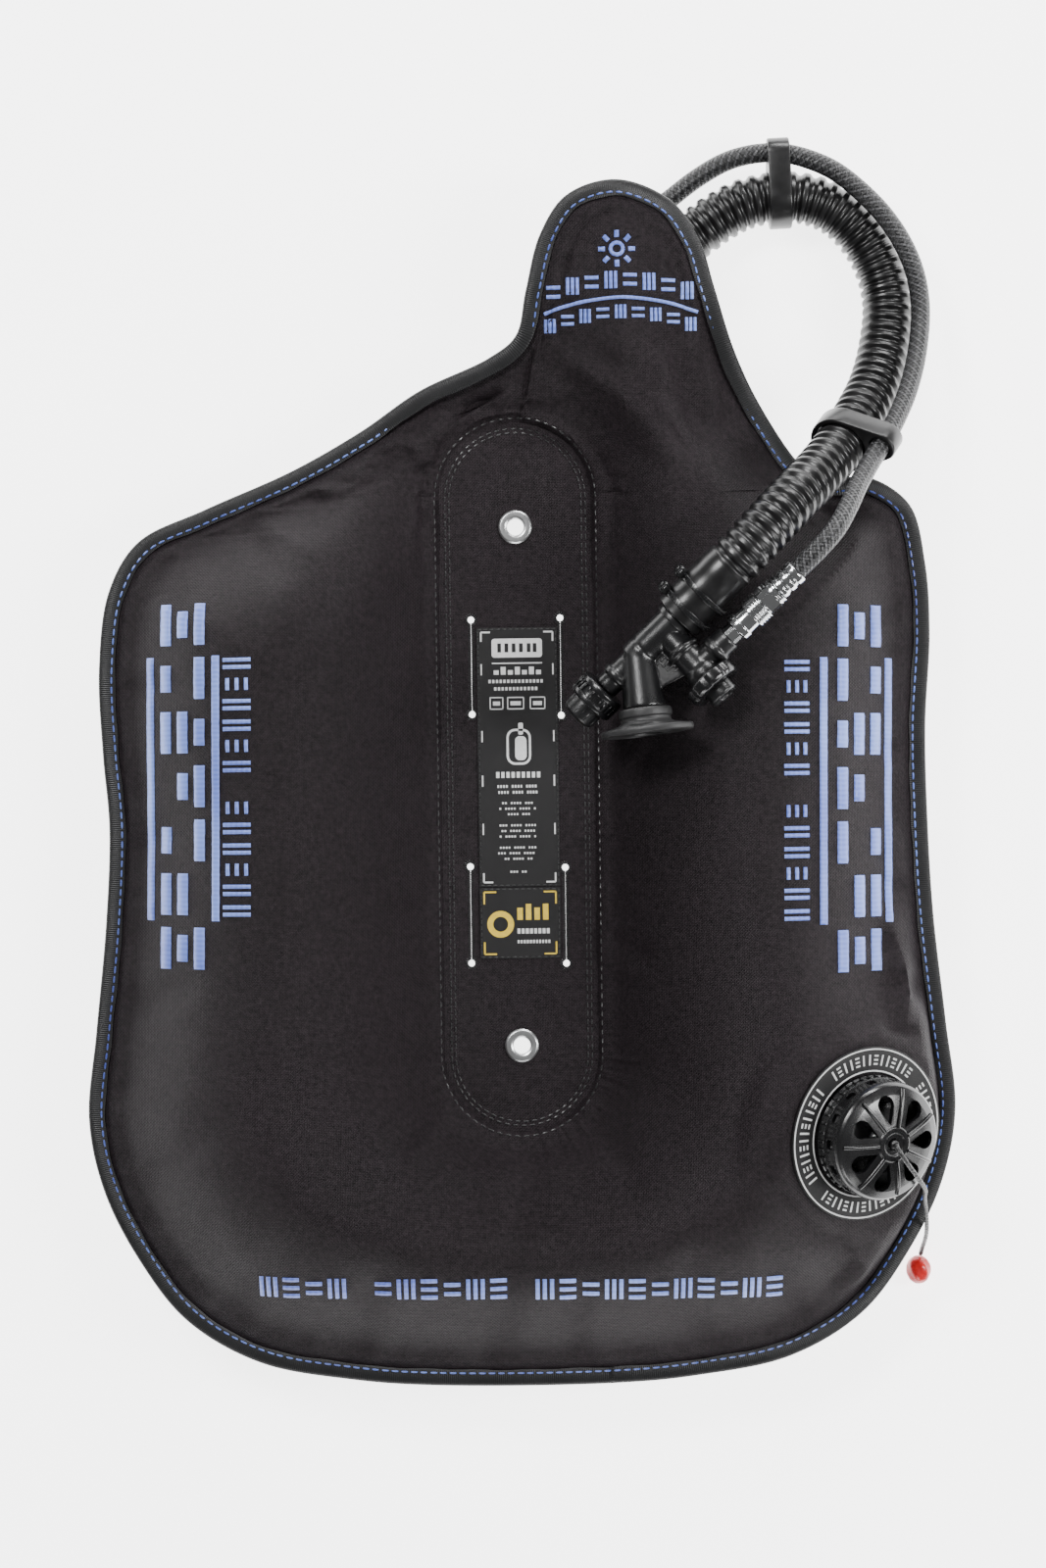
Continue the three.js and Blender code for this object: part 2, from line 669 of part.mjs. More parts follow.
const labelHeight = panelTop + GAP + LABEL_THICKNESS / 2;
const patchTop = LABEL_TOP - LABEL_LENGTH - 0.5;
add('label_main', closed(box(LABEL_WIDTH, LABEL_LENGTH, LABEL_THICKNESS)), finish(0x0c0c0c, 0.5))
  .position.set(0, LABEL_TOP - LABEL_LENGTH / 2, labelHeight);
add('label_patch', closed(box(LABEL_WIDTH, PATCH_LENGTH, LABEL_THICKNESS)), finish(0x0c0c0c, 0.5))
  .position.set(0, patchTop - PATCH_LENGTH / 2, labelHeight);

// ---------------------------------------------------------------- zip

const tapeInner = CHAIN_WIDTH / 2 + GAP;
const tapeOuter = tapeInner + TAPE_WIDTH;
const tapeStand = 1.2;
const zipTape = (from, to) => zipStrip(ZIP_Y + from, ZIP_Y + to, tapeStand, TAPE_THICKNESS);
add('zip_tape_upper', zipTape(tapeInner, tapeOuter), TRIM());
add('zip_tape_lower', zipTape(-tapeOuter, -tapeInner), TRIM());
const chainLength = ZIP_LENGTH - 16;
add(
  'zip_chain',
  zipStrip(ZIP_Y - CHAIN_WIDTH / 2, ZIP_Y + CHAIN_WIDTH / 2, tapeStand, CHAIN_THICKNESS, chainLength),
  finish(0x18181a, 0.4),
);
const sliderX = -ZIP_LENGTH / 2 + 16;
const sliderTop = backFace(sliderX, ZIP_Y) - tapeStand - CHAIN_THICKNESS - 0.9;
const slider = new THREE.Group();
slider.position.set(sliderX, ZIP_Y, sliderTop);
slider.rotation.x = Math.atan2(
  backFace(sliderX, ZIP_Y + CHAIN_WIDTH) - backFace(sliderX, ZIP_Y - CHAIN_WIDTH), 2 * CHAIN_WIDTH,
);
part.add(slider);
add(
  'zip_slider',
  join(
    new RoundedBoxGeometry(SLIDER_LENGTH, SLIDER_WIDTH, 1.6, 1, 0.5).translate(0, 0, -0.8),
    box(5, 2, 2.2).translate(0, 0, -2.4),
  ),
  finish(0x2a2a2c, 0.4, 0.8),
  slider,
);
add('zip_pull', closed(plate(circleShape(2.6, 10, 1.2), -0.6, 0.6).scale(2.4, 1, 1)), TRIM(), slider)
  .position.set(8, 0, -4.8);

// ---------------------------------------------------------------- dump valve

add(
  'dump_flange',
  turned([
    [PORT_RADIUS, flangeBottom], [DUMP_FLANGE_RADIUS, flangeBottom], [DUMP_FLANGE_RADIUS, flangeTop],
    [NECK_RADIUS, flangeTop], [NECK_RADIUS, NECK_TOP], [PORT_RADIUS, NECK_TOP], [PORT_RADIUS, flangeBottom],
  ], 24),
  MOULDED(),
  valve,
);
const ringLabel = ring(BASE_RADIUS + 1, RING_LABEL_RADIUS, 0.5, 1.7, 28);
add('dump_ring_label', ringLabel, finish(0x101010, 0.6), valve);
add(
  'dump_base',
  turned([
    [NECK_RADIUS + GAP, BASE_BOTTOM], [BASE_RADIUS, BASE_BOTTOM], [BASE_RADIUS, BASE_TOP],
    [SEAT_RADIUS, BASE_TOP], [SEAT_RADIUS, NECK_TOP + GAP], [NECK_RADIUS + GAP, NECK_TOP + GAP],
    [NECK_RADIUS + GAP, BASE_BOTTOM],
  ], 24),
  MOULDED(),
  valve,
);

function dumpCap() {
  const inner = BASE_RADIUS - CAP_WALL;
  const dome = turned([
    [inner, BASE_TOP + GAP], [BASE_RADIUS, BASE_TOP + GAP], [BASE_RADIUS, 19], [BASE_RADIUS - 2, 22],
    [20, 25.5], [9, CAP_TOP], [STEM_RADIUS + 0.7, CAP_TOP], [STEM_RADIUS + 0.7, 24.4], [9, 24.2],
    [20, 22.4], [inner - 1.5, 19], [inner, 16], [inner, BASE_TOP + GAP],
  ], 21);
  const tools = [];
  for (let i = 0; i < CAP_SPOKES; i += 1) {
    const angle = (2 * Math.PI * i) / CAP_SPOKES;
    const drop = new THREE.Shape();
    drop.moveTo(10.5, 0);
    drop.lineTo(19.5, 5);
    drop.absarc(21.5, 0, 5.2, 1.9, -1.9, true);
    drop.closePath();
    tools.push(plate(drop, 18, 30, 3).rotateZ(angle));
  }
  for (let i = 0; i < CAP_VENTS; i += 1) {
    tools.push(box(8, 5, 5).translate(BASE_RADIUS, 0, 14).rotateZ((2 * Math.PI * i) / CAP_VENTS));
  }
  return cut(dome, ...tools);
}
add('dump_cap', dumpCap(), MOULDED(), valve);

const sealTop = BASE_TOP + 1.3;
const poppetBottom = sealTop + GAP;
const poppetTop = poppetBottom + 2;
add('dump_seal', ring(SEAT_RADIUS + 0.6, POPPET_RADIUS, BASE_TOP + GAP, sealTop), RUBBER(), valve);
add(
  'dump_poppet',
  turned([
    [0, poppetBottom], [POPPET_RADIUS, poppetBottom], [POPPET_RADIUS, poppetTop],
    [STEM_RADIUS, poppetTop], [STEM_RADIUS, CAP_TOP + 1], [0, CAP_TOP + 1],
  ]),
  MOULDED(),
  valve,
);
add('dump_spring', coil(7, 0.7, poppetTop + 1.1, 22.4, 4), STEEL(), valve);

const CORD_RADIUS = 1.35;
const CORD_ROUTE = [
  [195.0, -190.3, 102.6], [195.8, -192.2, 104.2], [198.0, -195.8, 105.0], [201.8, -201.4, 102.4],
  [206.4, -207.6, 97.0], [210.2, -213.0, 89.6], [212.2, -216.8, 81.0], [212.8, -219.8, 72.0],
  [213.6, -223.4, 64.0], [214.8, -228.6, 56.4], [215.8, -234.6, 49.8], [216.6, -240.6, 42.6],
  [217.0, -246.0, 34.0], [217.0, -250.6, 24.6], [216.8, -254.6, 16.0], [216.4, -258.6, 10.6],
];
const BALL = new THREE.Vector3(215.4, -267.4, 8.4);
const BALL_WIDTH = 13.7;
const BALL_LENGTH = 15.6;
add('pull_cord', closed(hose(CORD_ROUTE, CORD_RADIUS, 8, 20)), finish(0x111113, 0.8));
const ball = new THREE.IcosahedronGeometry(BALL_WIDTH / 2, 2).scale(1, BALL_LENGTH / BALL_WIDTH, 1);
add('pull_ball', closed(ball), finish(0xc01818, 0.45)).position.copy(BALL);

// ---------------------------------------------------------------- elbow under the lobe

const elbow = new THREE.Group();
elbow.position.set(ELBOW.x, ELBOW.y, 0);
part.add(elbow);
const innerFlangeBottom = bladderFloor + BLADDER_WALL + GAP;
const nutTop = elbowSeat - GAP;
const nutBottom = nutTop - 8;
add(
  'elbow_flange',
  turned([
    [ELBOW_BORE, nutBottom], [ELBOW_STUB, nutBottom], [ELBOW_STUB, innerFlangeBottom],
    [ELBOW_FLANGE, innerFlangeBottom], [ELBOW_FLANGE, innerFlangeBottom + 2],
    [ELBOW_BORE, innerFlangeBottom + 2], [ELBOW_BORE, nutBottom],
  ]),
  MOULDED(),
  elbow,
);
add(
  'elbow_gasket',
  ring(ELBOW_STUB + GAP, ELBOW_FLANGE, elbowSeat + SHEET + GAP, bladderFloor - GAP),
  RUBBER(),
  elbow,
);
add('elbow_nut', ring(ELBOW_STUB + GAP, ELBOW_NUT, nutBottom, nutTop), MOULDED(), elbow);

function elbowTube(radius, overrun) {
  const top = nutBottom - GAP + overrun;
  const outward = (distance, height) => [
    distance * Math.cos(ELBOW_HEADING), distance * Math.sin(ELBOW_HEADING), height,
  ];
  const lip = 15.3 + overrun;
  const route = [
    outward(0, top), outward(0, 34), outward(1, 27.5), outward(4, 21),
    outward(8.5, ELBOW_SPIGOT_HEIGHT + 0.8), outward(12, ELBOW_SPIGOT_HEIGHT),
    outward(lip, ELBOW_SPIGOT_HEIGHT),
  ];
  return hose(route, radius, 10, 7);
}
add('elbow_body', cut(elbowTube(ELBOW_TUBE, 0), elbowTube(ELBOW_BORE - 1, 1)), MOULDED(), elbow);

// ---------------------------------------------------------------- hoses, bands and ties

const corrugated = hose(CORRUGATED_ROUTE, HOSE_RADIUS, 10, 18, HOSE_BORE);
add('corrugated_hose', closed(corrugated), RUBBER());
add('lp_hose', closed(hose(LP_ROUTE, LP_RADIUS, 8, 28)), BRAID());

/** Points a body made about Z along a direction, with its x towards a neighbour. */
function aimed(geometry, at, direction, towards) {
  const z = direction.clone().normalize();
  const y = z.clone().cross(towards).normalize();
  const frame = new THREE.Matrix4().makeBasis(y.clone().cross(z), y, z).setPosition(at);
  return geometry.applyMatrix4(frame);
}

/** A cable tie about Z: a strap with its head. */
function tie() {
  const outer = TIE_RADIUS + TIE_WALL;
  const strap = ring(TIE_RADIUS, outer, -TIE_WIDTH / 2, TIE_WIDTH / 2, 16);
  return join(strap, box(TIE_HEAD, TIE_HEAD, TIE_WIDTH + 3).translate(0, outer + TIE_HEAD / 2 - 2, 0));
}

const mainCurve = new THREE.CatmullRomCurve3(CORRUGATED_ROUTE.map(vector), false, 'centripetal');
const lpCurve = new THREE.CatmullRomCurve3(LP_ROUTE.map(vector), false, 'centripetal');

/** A rubber retainer with one eye for each hose. */
function retainer(at, neighbour, direction) {
  const spacing = at.distanceTo(neighbour);
  const eyes = [[0, HOSE_RADIUS + BAND_ROOM], [spacing, LP_RADIUS + LP_BAND_ROOM]];
  const lean = Math.acos((eyes[0][1] - eyes[1][1]) / spacing);
  const shape = new THREE.Shape();
  shape.absarc(0, 0, eyes[0][1] + BAND_WALL, lean, 2 * Math.PI - lean, false);
  shape.absarc(spacing, 0, eyes[1][1] + BAND_WALL, -lean, lean, false);
  for (const [x, radius] of eyes) shape.holes.push(circlePath(radius, 14, x, 0));
  const towards = neighbour.clone().sub(at);
  return aimed(plate(shape, -BAND_LENGTH / 2, BAND_LENGTH / 2, 6), at, direction, towards);
}
const lpPoints = lpCurve.getSpacedPoints(400);
for (const [name, share] of BANDS) {
  const at = mainCurve.getPointAt(share);
  const direction = mainCurve.getTangentAt(share);
  const nearest = lpPoints.reduce((best, p) => (p.distanceTo(at) < best.distanceTo(at) ? p : best));
  const neighbour = nearest.clone().addScaledVector(direction, -nearest.clone().sub(at).dot(direction));
  add(name, closed(retainer(at, neighbour, direction)), RUBBER());
}

for (const [name, share] of ELBOW_TIES) {
  const strap = aimed(
    tie(),
    mainCurve.getPointAt(share),
    mainCurve.getTangentAt(share),
    new THREE.Vector3(0, 0, 1).cross(mainCurve.getTangentAt(share)),
  );
  add(name, closed(strap), TRIM());
}

// The far end's fitting is made about Z, with its thread pointing up.
const farStart = vector(LP_ROUTE[0]);
const farTurn = lpCurve.getTangentAt(0).negate();
const far = new THREE.Group();
far.position.copy(farStart);
far.quaternion.setFromUnitVectors(new THREE.Vector3(0, 0, 1), farTurn);
part.add(far);
add('lp_far_ferrule', ring(0.8, FERRULE_RADIUS, GAP, 15, 12), STEEL(), far);
const hexEnd = 15 + GAP + 9;
const threadEnd = hexEnd + 9;
add(
  'lp_end_fitting',
  closed(cut(
    join(rod(8.1, 15 + GAP, hexEnd, 6), rod(4.7, hexEnd - 1, threadEnd, 16)),
    rod(1.8, 14, threadEnd + 1, 8),
  )),
  STEEL(),
  far,
);
add('lp_o_ring', closed(new THREE.TorusGeometry(5.9, 0.9, 5, 12)), RUBBER(), far).position.z = hexEnd + 1.2;

// ---------------------------------------------------------------- power inflator

const collarStart = LOWER_BARREL_END - GAP;
const collarEnd = collarStart - COLLAR_LENGTH;
const buttonEnd = collarEnd - BUTTON_STAND;
const capStart = BRANCH_END + GAP;
const capEnd = capStart + INFLATE_CAP_DEPTH;

/** A body made about Z, pointing out along the branch from the barrel. */
const onBranch = (geometry) => geometry.rotateX(Math.PI / 2);
/** A body made about Z, pointing out along the mouthpiece. */
const onMouth = (geometry) => lying(geometry, MOUTH_ANGLE, MOUTH_ORIGIN, 0);

function inflatorBody() {
  const barrel = join(
    lying(rod(BARREL_RADIUS, BARREL_STEP, SPIGOT_END, 14)),
    lying(rod(LOWER_BARREL_RADIUS, LOWER_BARREL_END, BARREL_STEP + 2, 14)),
    lying(rod(BARREL_RADIUS + 1.4, -1.5, 1.5, 14), 0, 8, 0),
    onBranch(rod(BRANCH_RADIUS, 0, BRANCH_END, 14)),
    lying(rod(QD_STUB_RADIUS, -3, QD_STUB_END, 14), 0, 0, -QD_OFFSET),
    mouthTrunk(),
    web(),
  );
  return cut(
    barrel,
    lying(rod(UPPER_BORE, BARREL_STEP + 3, SPIGOT_END + 1, 12)),
    lying(rod(LOWER_BORE, LOWER_BARREL_END - 1, BARREL_STEP + 4, 12)),
    onBranch(rod(BRANCH_BORE, 4, BRANCH_END + 1, 12)),
    lying(rod(3.4, 3, QD_STUB_END + 1, 10), 0, 0, -QD_OFFSET),
    onMouth(rod(MOUTH_BORE, 9, MOUTH_TRUNK_END + 1, 12)),
  );
}

/** The tapered neck between the barrel and the mouthpiece. */
function mouthTrunk() {
  return onMouth(turned([[0, 0], [9, 0], [11.5, MOUTH_TRUNK_END], [0, MOUTH_TRUNK_END]], 18));
}

/** The flat web between the neck and the branch. */
function web() {
  const shape = new THREE.Shape();
  shape.moveTo(MOUTH_ORIGIN, 0);
  shape.lineTo(0, 0);
  shape.lineTo(0, -BRANCH_END + 6);
  shape.lineTo(MOUTH_ORIGIN + 23 * Math.cos(MOUTH_ANGLE), 23 * Math.sin(MOUTH_ANGLE));
  shape.closePath();
  return plate(shape, -3, 3);
}
add('inflator_body', inflatorBody(), MOULDED(), inflator);

const mouthStart = MOUTH_TRUNK_END + GAP;
const mouthFlange = mouthStart + MOUTH_COLLAR;
add(
  'mouthpiece',
  onMouth(cut(
    join(
      rod(14, mouthStart, mouthFlange + 1, 20),
      plate(circleShape(25, 24), mouthFlange, mouthFlange + MOUTH_FLANGE).scale(0.6, 1, 1),
    ),
    rod(MOUTH_BORE, mouthStart - 1, mouthFlange + MOUTH_FLANGE + 1, 16),
  )),
  finish(0x121212, 0.5),
  inflator,
);

const collarFloor = collarStart - COLLAR_FLOOR;
add(
  'end_collar',
  lying(turned([
    [EXHAUST_STEM + GAP, collarStart], [COLLAR_RADIUS, collarStart], [COLLAR_RADIUS, collarEnd],
    [BUTTON_RADIUS + BUTTON_ROOM, collarEnd], [BUTTON_RADIUS + BUTTON_ROOM, collarFloor],
    [EXHAUST_STEM + GAP, collarFloor], [EXHAUST_STEM + GAP, collarStart],
  ], 24)),
  MOULDED(),
  inflator,
);

/** A hollow push button about Z, open towards its inner end. */
function buttonCup(radius, face, inner) {
  const step = Math.sign(inner - face) * BUTTON_FACE;
  return turned([
    [0, face], [radius, face], [radius, inner], [radius - BUTTON_WALL, inner],
    [radius - BUTTON_WALL, face + step], [0, face + step],
  ], 20);
}
const buttonInner = collarFloor - EXHAUST_TRAVEL - BUTTON_ROOM;
const exhaustPoppet = LOWER_BARREL_END + 19;
add('exhaust_button', lying(buttonCup(BUTTON_RADIUS, buttonEnd, buttonInner)), MOULDED(), inflator);
add(
  'exhaust_poppet',
  lying(turned([
    [0, buttonEnd + BUTTON_FACE + GAP], [EXHAUST_STEM, buttonEnd + BUTTON_FACE + GAP],
    [EXHAUST_STEM, exhaustPoppet], [LOWER_BORE - 0.4, exhaustPoppet], [LOWER_BORE - 0.4, exhaustPoppet + 2],
    [0, exhaustPoppet + 2],
  ], 12)),
  MOULDED(),
  inflator,
);
add(
  'exhaust_spring',
  lying(coil(5.2, SPRING_WIRE, collarFloor - 1.2, buttonEnd + BUTTON_FACE + 1.2, 4)),
  STEEL(),
  inflator,
);

const capFloor = capStart + 1.8;
const inflateFace = capEnd + INFLATE_BUTTON_STAND;
const inflateInner = capFloor + INFLATE_TRAVEL + BUTTON_ROOM;
add(
  'inflate_cap',
  onBranch(turned([
    [INFLATE_STEM + GAP, capStart], [INFLATE_CAP_RADIUS, capStart], [INFLATE_CAP_RADIUS, capEnd - 1.5],
    [INFLATE_CAP_RADIUS - 1.5, capEnd], [INFLATE_BUTTON_RADIUS + BUTTON_ROOM, capEnd],
    [INFLATE_BUTTON_RADIUS + BUTTON_ROOM, capFloor], [INFLATE_STEM + GAP, capFloor],
    [INFLATE_STEM + GAP, capStart],
  ], 24)),
  MOULDED(),
  inflator,
);
add(
  'inflate_button',
  onBranch(buttonCup(INFLATE_BUTTON_RADIUS, inflateFace, inflateInner)),
  MOULDED(),
  inflator,
);
add(
  'inflate_stem',
  onBranch(turned([
    [0, 12], [BRANCH_BORE - 0.6, 12], [BRANCH_BORE - 0.6, 14], [INFLATE_STEM, 14],
    [INFLATE_STEM, inflateFace - BUTTON_FACE - GAP], [0, inflateFace - BUTTON_FACE - GAP],
  ], 12)),
  MOULDED(),
  inflator,
);
add(
  'inflate_spring',
  onBranch(coil(4.2, SPRING_WIRE, capFloor + 1.2, inflateFace - BUTTON_FACE - 1.2, 3)),
  STEEL(),
  inflator,
);

for (const [name, x] of CUFF_TIES) {
  add(name, lying(tie()).rotateX(CUFF_TIE_TURN).translate(x, 0, 0), TRIM(), inflator);
}

const nippleEnd = QD_STUB_END + GAP + 5;
const tongueEnd = nippleEnd + 10;
add(
  'qd_nipple',
  lying(turned([
    [1.5, QD_STUB_END + GAP], [5.8, QD_STUB_END + GAP], [5.8, nippleEnd], [QD_BORE - GAP, nippleEnd],
    [QD_BORE - GAP, tongueEnd], [1.5, tongueEnd], [1.5, QD_STUB_END + GAP],
  ], 16), 0, 0, -QD_OFFSET),
  STEEL(),
  inflator,
);
add(
  'qd_body',
  lying(cut(
    join(
      turned([
        [0, QD_BODY_START], [QD_RADIUS, QD_BODY_START], [QD_RADIUS, QD_BODY_START + 4.5],
        [QD_GROOVE, QD_BODY_START + 4.5], [QD_GROOVE, QD_BODY_END], [0, QD_BODY_END],
      ], 20),
      rod(QD_HEX, QD_BODY_END - 10, QD_BODY_END, 6),
    ),
    rod(QD_BORE, QD_BODY_START - 1, tongueEnd + 1, 12),
    rod(1.5, tongueEnd, QD_BODY_END + 1, 12),
  ), 0, 0, -QD_OFFSET),
  STEEL(),
  inflator,
);
const sleeveEnd = QD_BODY_END - 10 - GAP - 0.6;
add(
  'qd_collar',
  lying(
    ring(QD_GROOVE + GAP, QD_COLLAR_RADIUS, sleeveEnd - QD_COLLAR_LENGTH, sleeveEnd),
    0, 0, -QD_OFFSET,
  ),
  STEEL(),
  inflator,
);
add(
  'lp_ferrule',
  lying(ring(0.8, FERRULE_RADIUS, QD_BODY_END + GAP, QD_BODY_END + GAP + FERRULE_LENGTH, 14), 0, 0, -QD_OFFSET),
  STEEL(),
  inflator,
);

export default part;
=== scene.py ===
import math
import random

import bmesh
import bpy
import numpy as np
from mathutils import Matrix, Vector
from mathutils.bvhtree import BVHTree


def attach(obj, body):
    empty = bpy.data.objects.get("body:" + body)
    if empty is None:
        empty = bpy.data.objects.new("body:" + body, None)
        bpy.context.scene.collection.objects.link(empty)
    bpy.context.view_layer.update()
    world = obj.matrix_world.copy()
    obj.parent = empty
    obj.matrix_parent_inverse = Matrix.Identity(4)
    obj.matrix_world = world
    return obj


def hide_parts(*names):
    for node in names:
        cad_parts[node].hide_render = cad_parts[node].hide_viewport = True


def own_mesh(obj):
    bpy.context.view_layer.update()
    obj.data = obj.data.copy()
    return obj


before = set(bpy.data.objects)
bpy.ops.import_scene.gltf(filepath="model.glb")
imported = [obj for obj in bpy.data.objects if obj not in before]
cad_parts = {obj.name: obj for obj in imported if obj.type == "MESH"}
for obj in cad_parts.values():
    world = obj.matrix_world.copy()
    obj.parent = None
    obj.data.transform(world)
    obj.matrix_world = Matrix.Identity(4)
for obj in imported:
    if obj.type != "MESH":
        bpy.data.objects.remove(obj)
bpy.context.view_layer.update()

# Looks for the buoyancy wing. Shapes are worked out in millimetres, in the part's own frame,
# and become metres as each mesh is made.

MM = 0.001
chance = random.Random(11)

# ---------------------------------------------------------------- camera, floor and light

lens = bpy.data.cameras.new("camera")
lens.sensor_fit = "VERTICAL"
lens.sensor_height = 36
lens.lens = 87.7
camera = bpy.data.objects.new("camera", lens)
camera.location = (0.0024, 0.0012, 2.1)
camera.rotation_euler = (0, 0, math.radians(-0.757))
bpy.context.scene.collection.objects.link(camera)
bpy.context.scene.camera = camera


def softbox(name, place, towards, width, height, watts, tint=(1, 1, 1)):
    """A studio softbox aimed at a point."""
    light = bpy.data.lights.new(name, "AREA")
    light.shape, light.size, light.size_y = "RECTANGLE", width, height
    light.energy, light.color = watts, tint
    lamp = bpy.data.objects.new(name, light)
    lamp.location = place
    lamp.rotation_euler = (Vector(towards) - Vector(place)).to_track_quat("-Z", "Y").to_euler()
    bpy.context.scene.collection.objects.link(lamp)
    return lamp


softbox("key_softbox", (-0.8, 1.0, 1.75), (0, 0, 0.05), 0.7, 0.5, 38)
softbox("fill_softbox", (1.5, 0.0, 1.35), (0, 0, 0.05), 0.45, 1.1, 36)
softbox("foot_softbox", (0.1, -1.8, 0.9), (0, 0, 0.05), 1.3, 0.4, 16)
softbox("top_strip", (0.5, 1.6, 0.8), (0.1, 0.2, 0.08), 1.0, 0.25, 22)

world = bpy.data.worlds.new("studio")
world.use_nodes = True
world.node_tree.nodes["Background"].inputs["Color"].default_value = (1, 1, 1, 1)
world.node_tree.nodes["Background"].inputs["Strength"].default_value = 0.16
bpy.context.scene.world = world


# ---------------------------------------------------------------- shader writing

class Value:
    """A number that changes over a surface. Python operators on it add Math nodes."""

    def __init__(self, finish, socket):
        self.finish, self.socket = finish, socket

    def math(self, operation, *others):
        """This value with one or two more, through one Math node."""
        inputs = dict(enumerate((self, *others)))
        return self.finish.node("Math", {"operation": operation}, inputs)

    def swapped(self, operation, first):
        """The same with a plain number in front."""
        return self.finish.node("Math", {"operation": operation}, {0: first, 1: self})

    def __add__(self, other): return self.math("ADD", other)
    def __radd__(self, other): return self.swapped("ADD", other)
    def __sub__(self, other): return self.math("SUBTRACT", other)
    def __rsub__(self, other): return self.swapped("SUBTRACT", other)
    def __mul__(self, other): return self.math("MULTIPLY", other)
    def __rmul__(self, other): return self.swapped("MULTIPLY", other)
    def __truediv__(self, other): return self.math("DIVIDE", other)
    def __rtruediv__(self, other): return self.swapped("DIVIDE", other)
    def __pow__(self, other): return self.math("POWER", other)
    def __gt__(self, other): return self.math("GREATER_THAN", other)
    def __lt__(self, other): return self.math("LESS_THAN", other)

    def sine(self): return self.math("SINE")
    def size(self): return self.math("ABSOLUTE")
    def fraction(self): return self.math("FRACT")
    def over(self, other): return self.math("MAXIMUM", other)
    def under(self, other): return self.math("MINIMUM", other)


class Finish:
    """One material as it is written. What is the same all over is set on the shader."""

    def __init__(self, name, colour, roughness, **constants):
        self.material = bpy.data.materials.new(name)
        self.material.use_nodes = True
        self.tree = self.material.node_tree
        self.shader = self.tree.nodes["Principled BSDF"]
        self.set("Base Color", (*colour, 1))
        self.set("Roughness", roughness)
        for key, value in constants.items():
            self.set(key.replace("_", " ").title().replace("Ior", "IOR"), value)
        self.material.diffuse_color = (*colour, 1)

    def set(self, socket, value):
        """Feeds one of the shader's sockets."""
        self.feed(self.shader.inputs[socket], value)
        return self

    def feed(self, socket, value):
        if isinstance(value, Value):
            self.tree.links.new(value.socket, socket)
        else:
            socket.default_value = value

    def node(self, kind, settings=None, inputs=None, out=0):
        """Any node: its settings first, then the values or links of its sockets."""
        node = self.tree.nodes.new("ShaderNode" + kind)
        for key, value in (settings or {}).items():
            if key == "stops":
                ramp = node.color_ramp
                while len(ramp.elements) < len(value):
                    ramp.elements.new(0.5)
                for element, (at, colour) in zip(ramp.elements, value):
                    element.position, element.color = at, (*colour, 1)
            else:
                setattr(node, key, value)
        for key, value in (inputs or {}).items():
            self.feed(node.inputs[key], value)
        return Value(self, node.outputs[out])

    def place(self, kind="Object"):
        """Coordinates over the piece: Object is the part's own frame, UV runs along the piece."""
        return self.node("TexCoord", out=kind)

    def axes(self, kind="Object"):
        """x, y and z of a place."""
        where = self.place(kind)
        return [self.node("SeparateXYZ", inputs={0: where}, out=axis) for axis in "XYZ"]

    def noise(self, scale, detail=3.0, kind="Object", stretch=(1, 1, 1), rough=0.5):
        where = self.node("Mapping", inputs={"Vector": self.place(kind), "Scale": stretch})
        inputs = {"Vector": where, "Scale": scale, "Detail": detail, "Roughness": rough}
        return self.node("TexNoise", inputs=inputs)

    def blend(self, share, first, second):
        """Two colours mixed by a value."""
        inputs = {0: share, 6: first, 7: second}
        for key in (6, 7):
            if isinstance(inputs[key], tuple):
                inputs[key] = (*inputs[key][:3], 1)
        return self.node("Mix", {"data_type": "RGBA"}, inputs, out=2)

    def bump(self, height, depth, strength=1.0, onto=None):
        """Fine relief, depth metres high."""
        inputs = {"Height": height, "Distance": depth, "Strength": strength}
        if onto is not None:
            inputs["Normal"] = onto
        return self.node("Bump", inputs=inputs)


def woven(finish, x, y, pitch):
    """Height of a plain weave with that thread pitch, from 0 to 1."""
    warp, weft = (x * (math.pi / pitch)).sine(), (y * (math.pi / pitch)).sine()
    over = (warp * weft) > 0
    return warp.size() * over + weft.size() * (1 - over)


def cordura():
    finish = Finish("coated_pack_cloth", (0.01, 0.0088, 0.0095), 0.6, sheen_weight=0.012,
                    sheen_roughness=0.4, specular_ior_level=0.16)
    x, y, _ = finish.axes()
    weave = woven(finish, x, y, 0.00085)
    slub = finish.noise(900, 2, stretch=(1, 0.16, 1)) + finish.noise(900, 2, stretch=(0.16, 1, 1))
    cloud = finish.noise(9, 4)
    speck = finish.noise(420, 3, rough=0.7)
    tone = (cloud * 0.4 + weave * 0.4 + slub * 0.3 + speck * 1.5 - 1.05).over(0).under(1)
    finish.set("Base Color", finish.blend(tone, (0.0016, 0.001, 0.0013), (0.026, 0.0192, 0.0228)))
    finish.set("Roughness", finish.noise(60, 3) * 0.16 + 0.42 + weave * 0.06)
    crumple = finish.bump(finish.noise(26, 4, rough=0.6), 0.0022, 0.5)
    finish.set("Normal", finish.bump(weave + slub * 0.6 + speck * 0.8, 0.0003, 0.8, onto=crumple))
    return finish.material


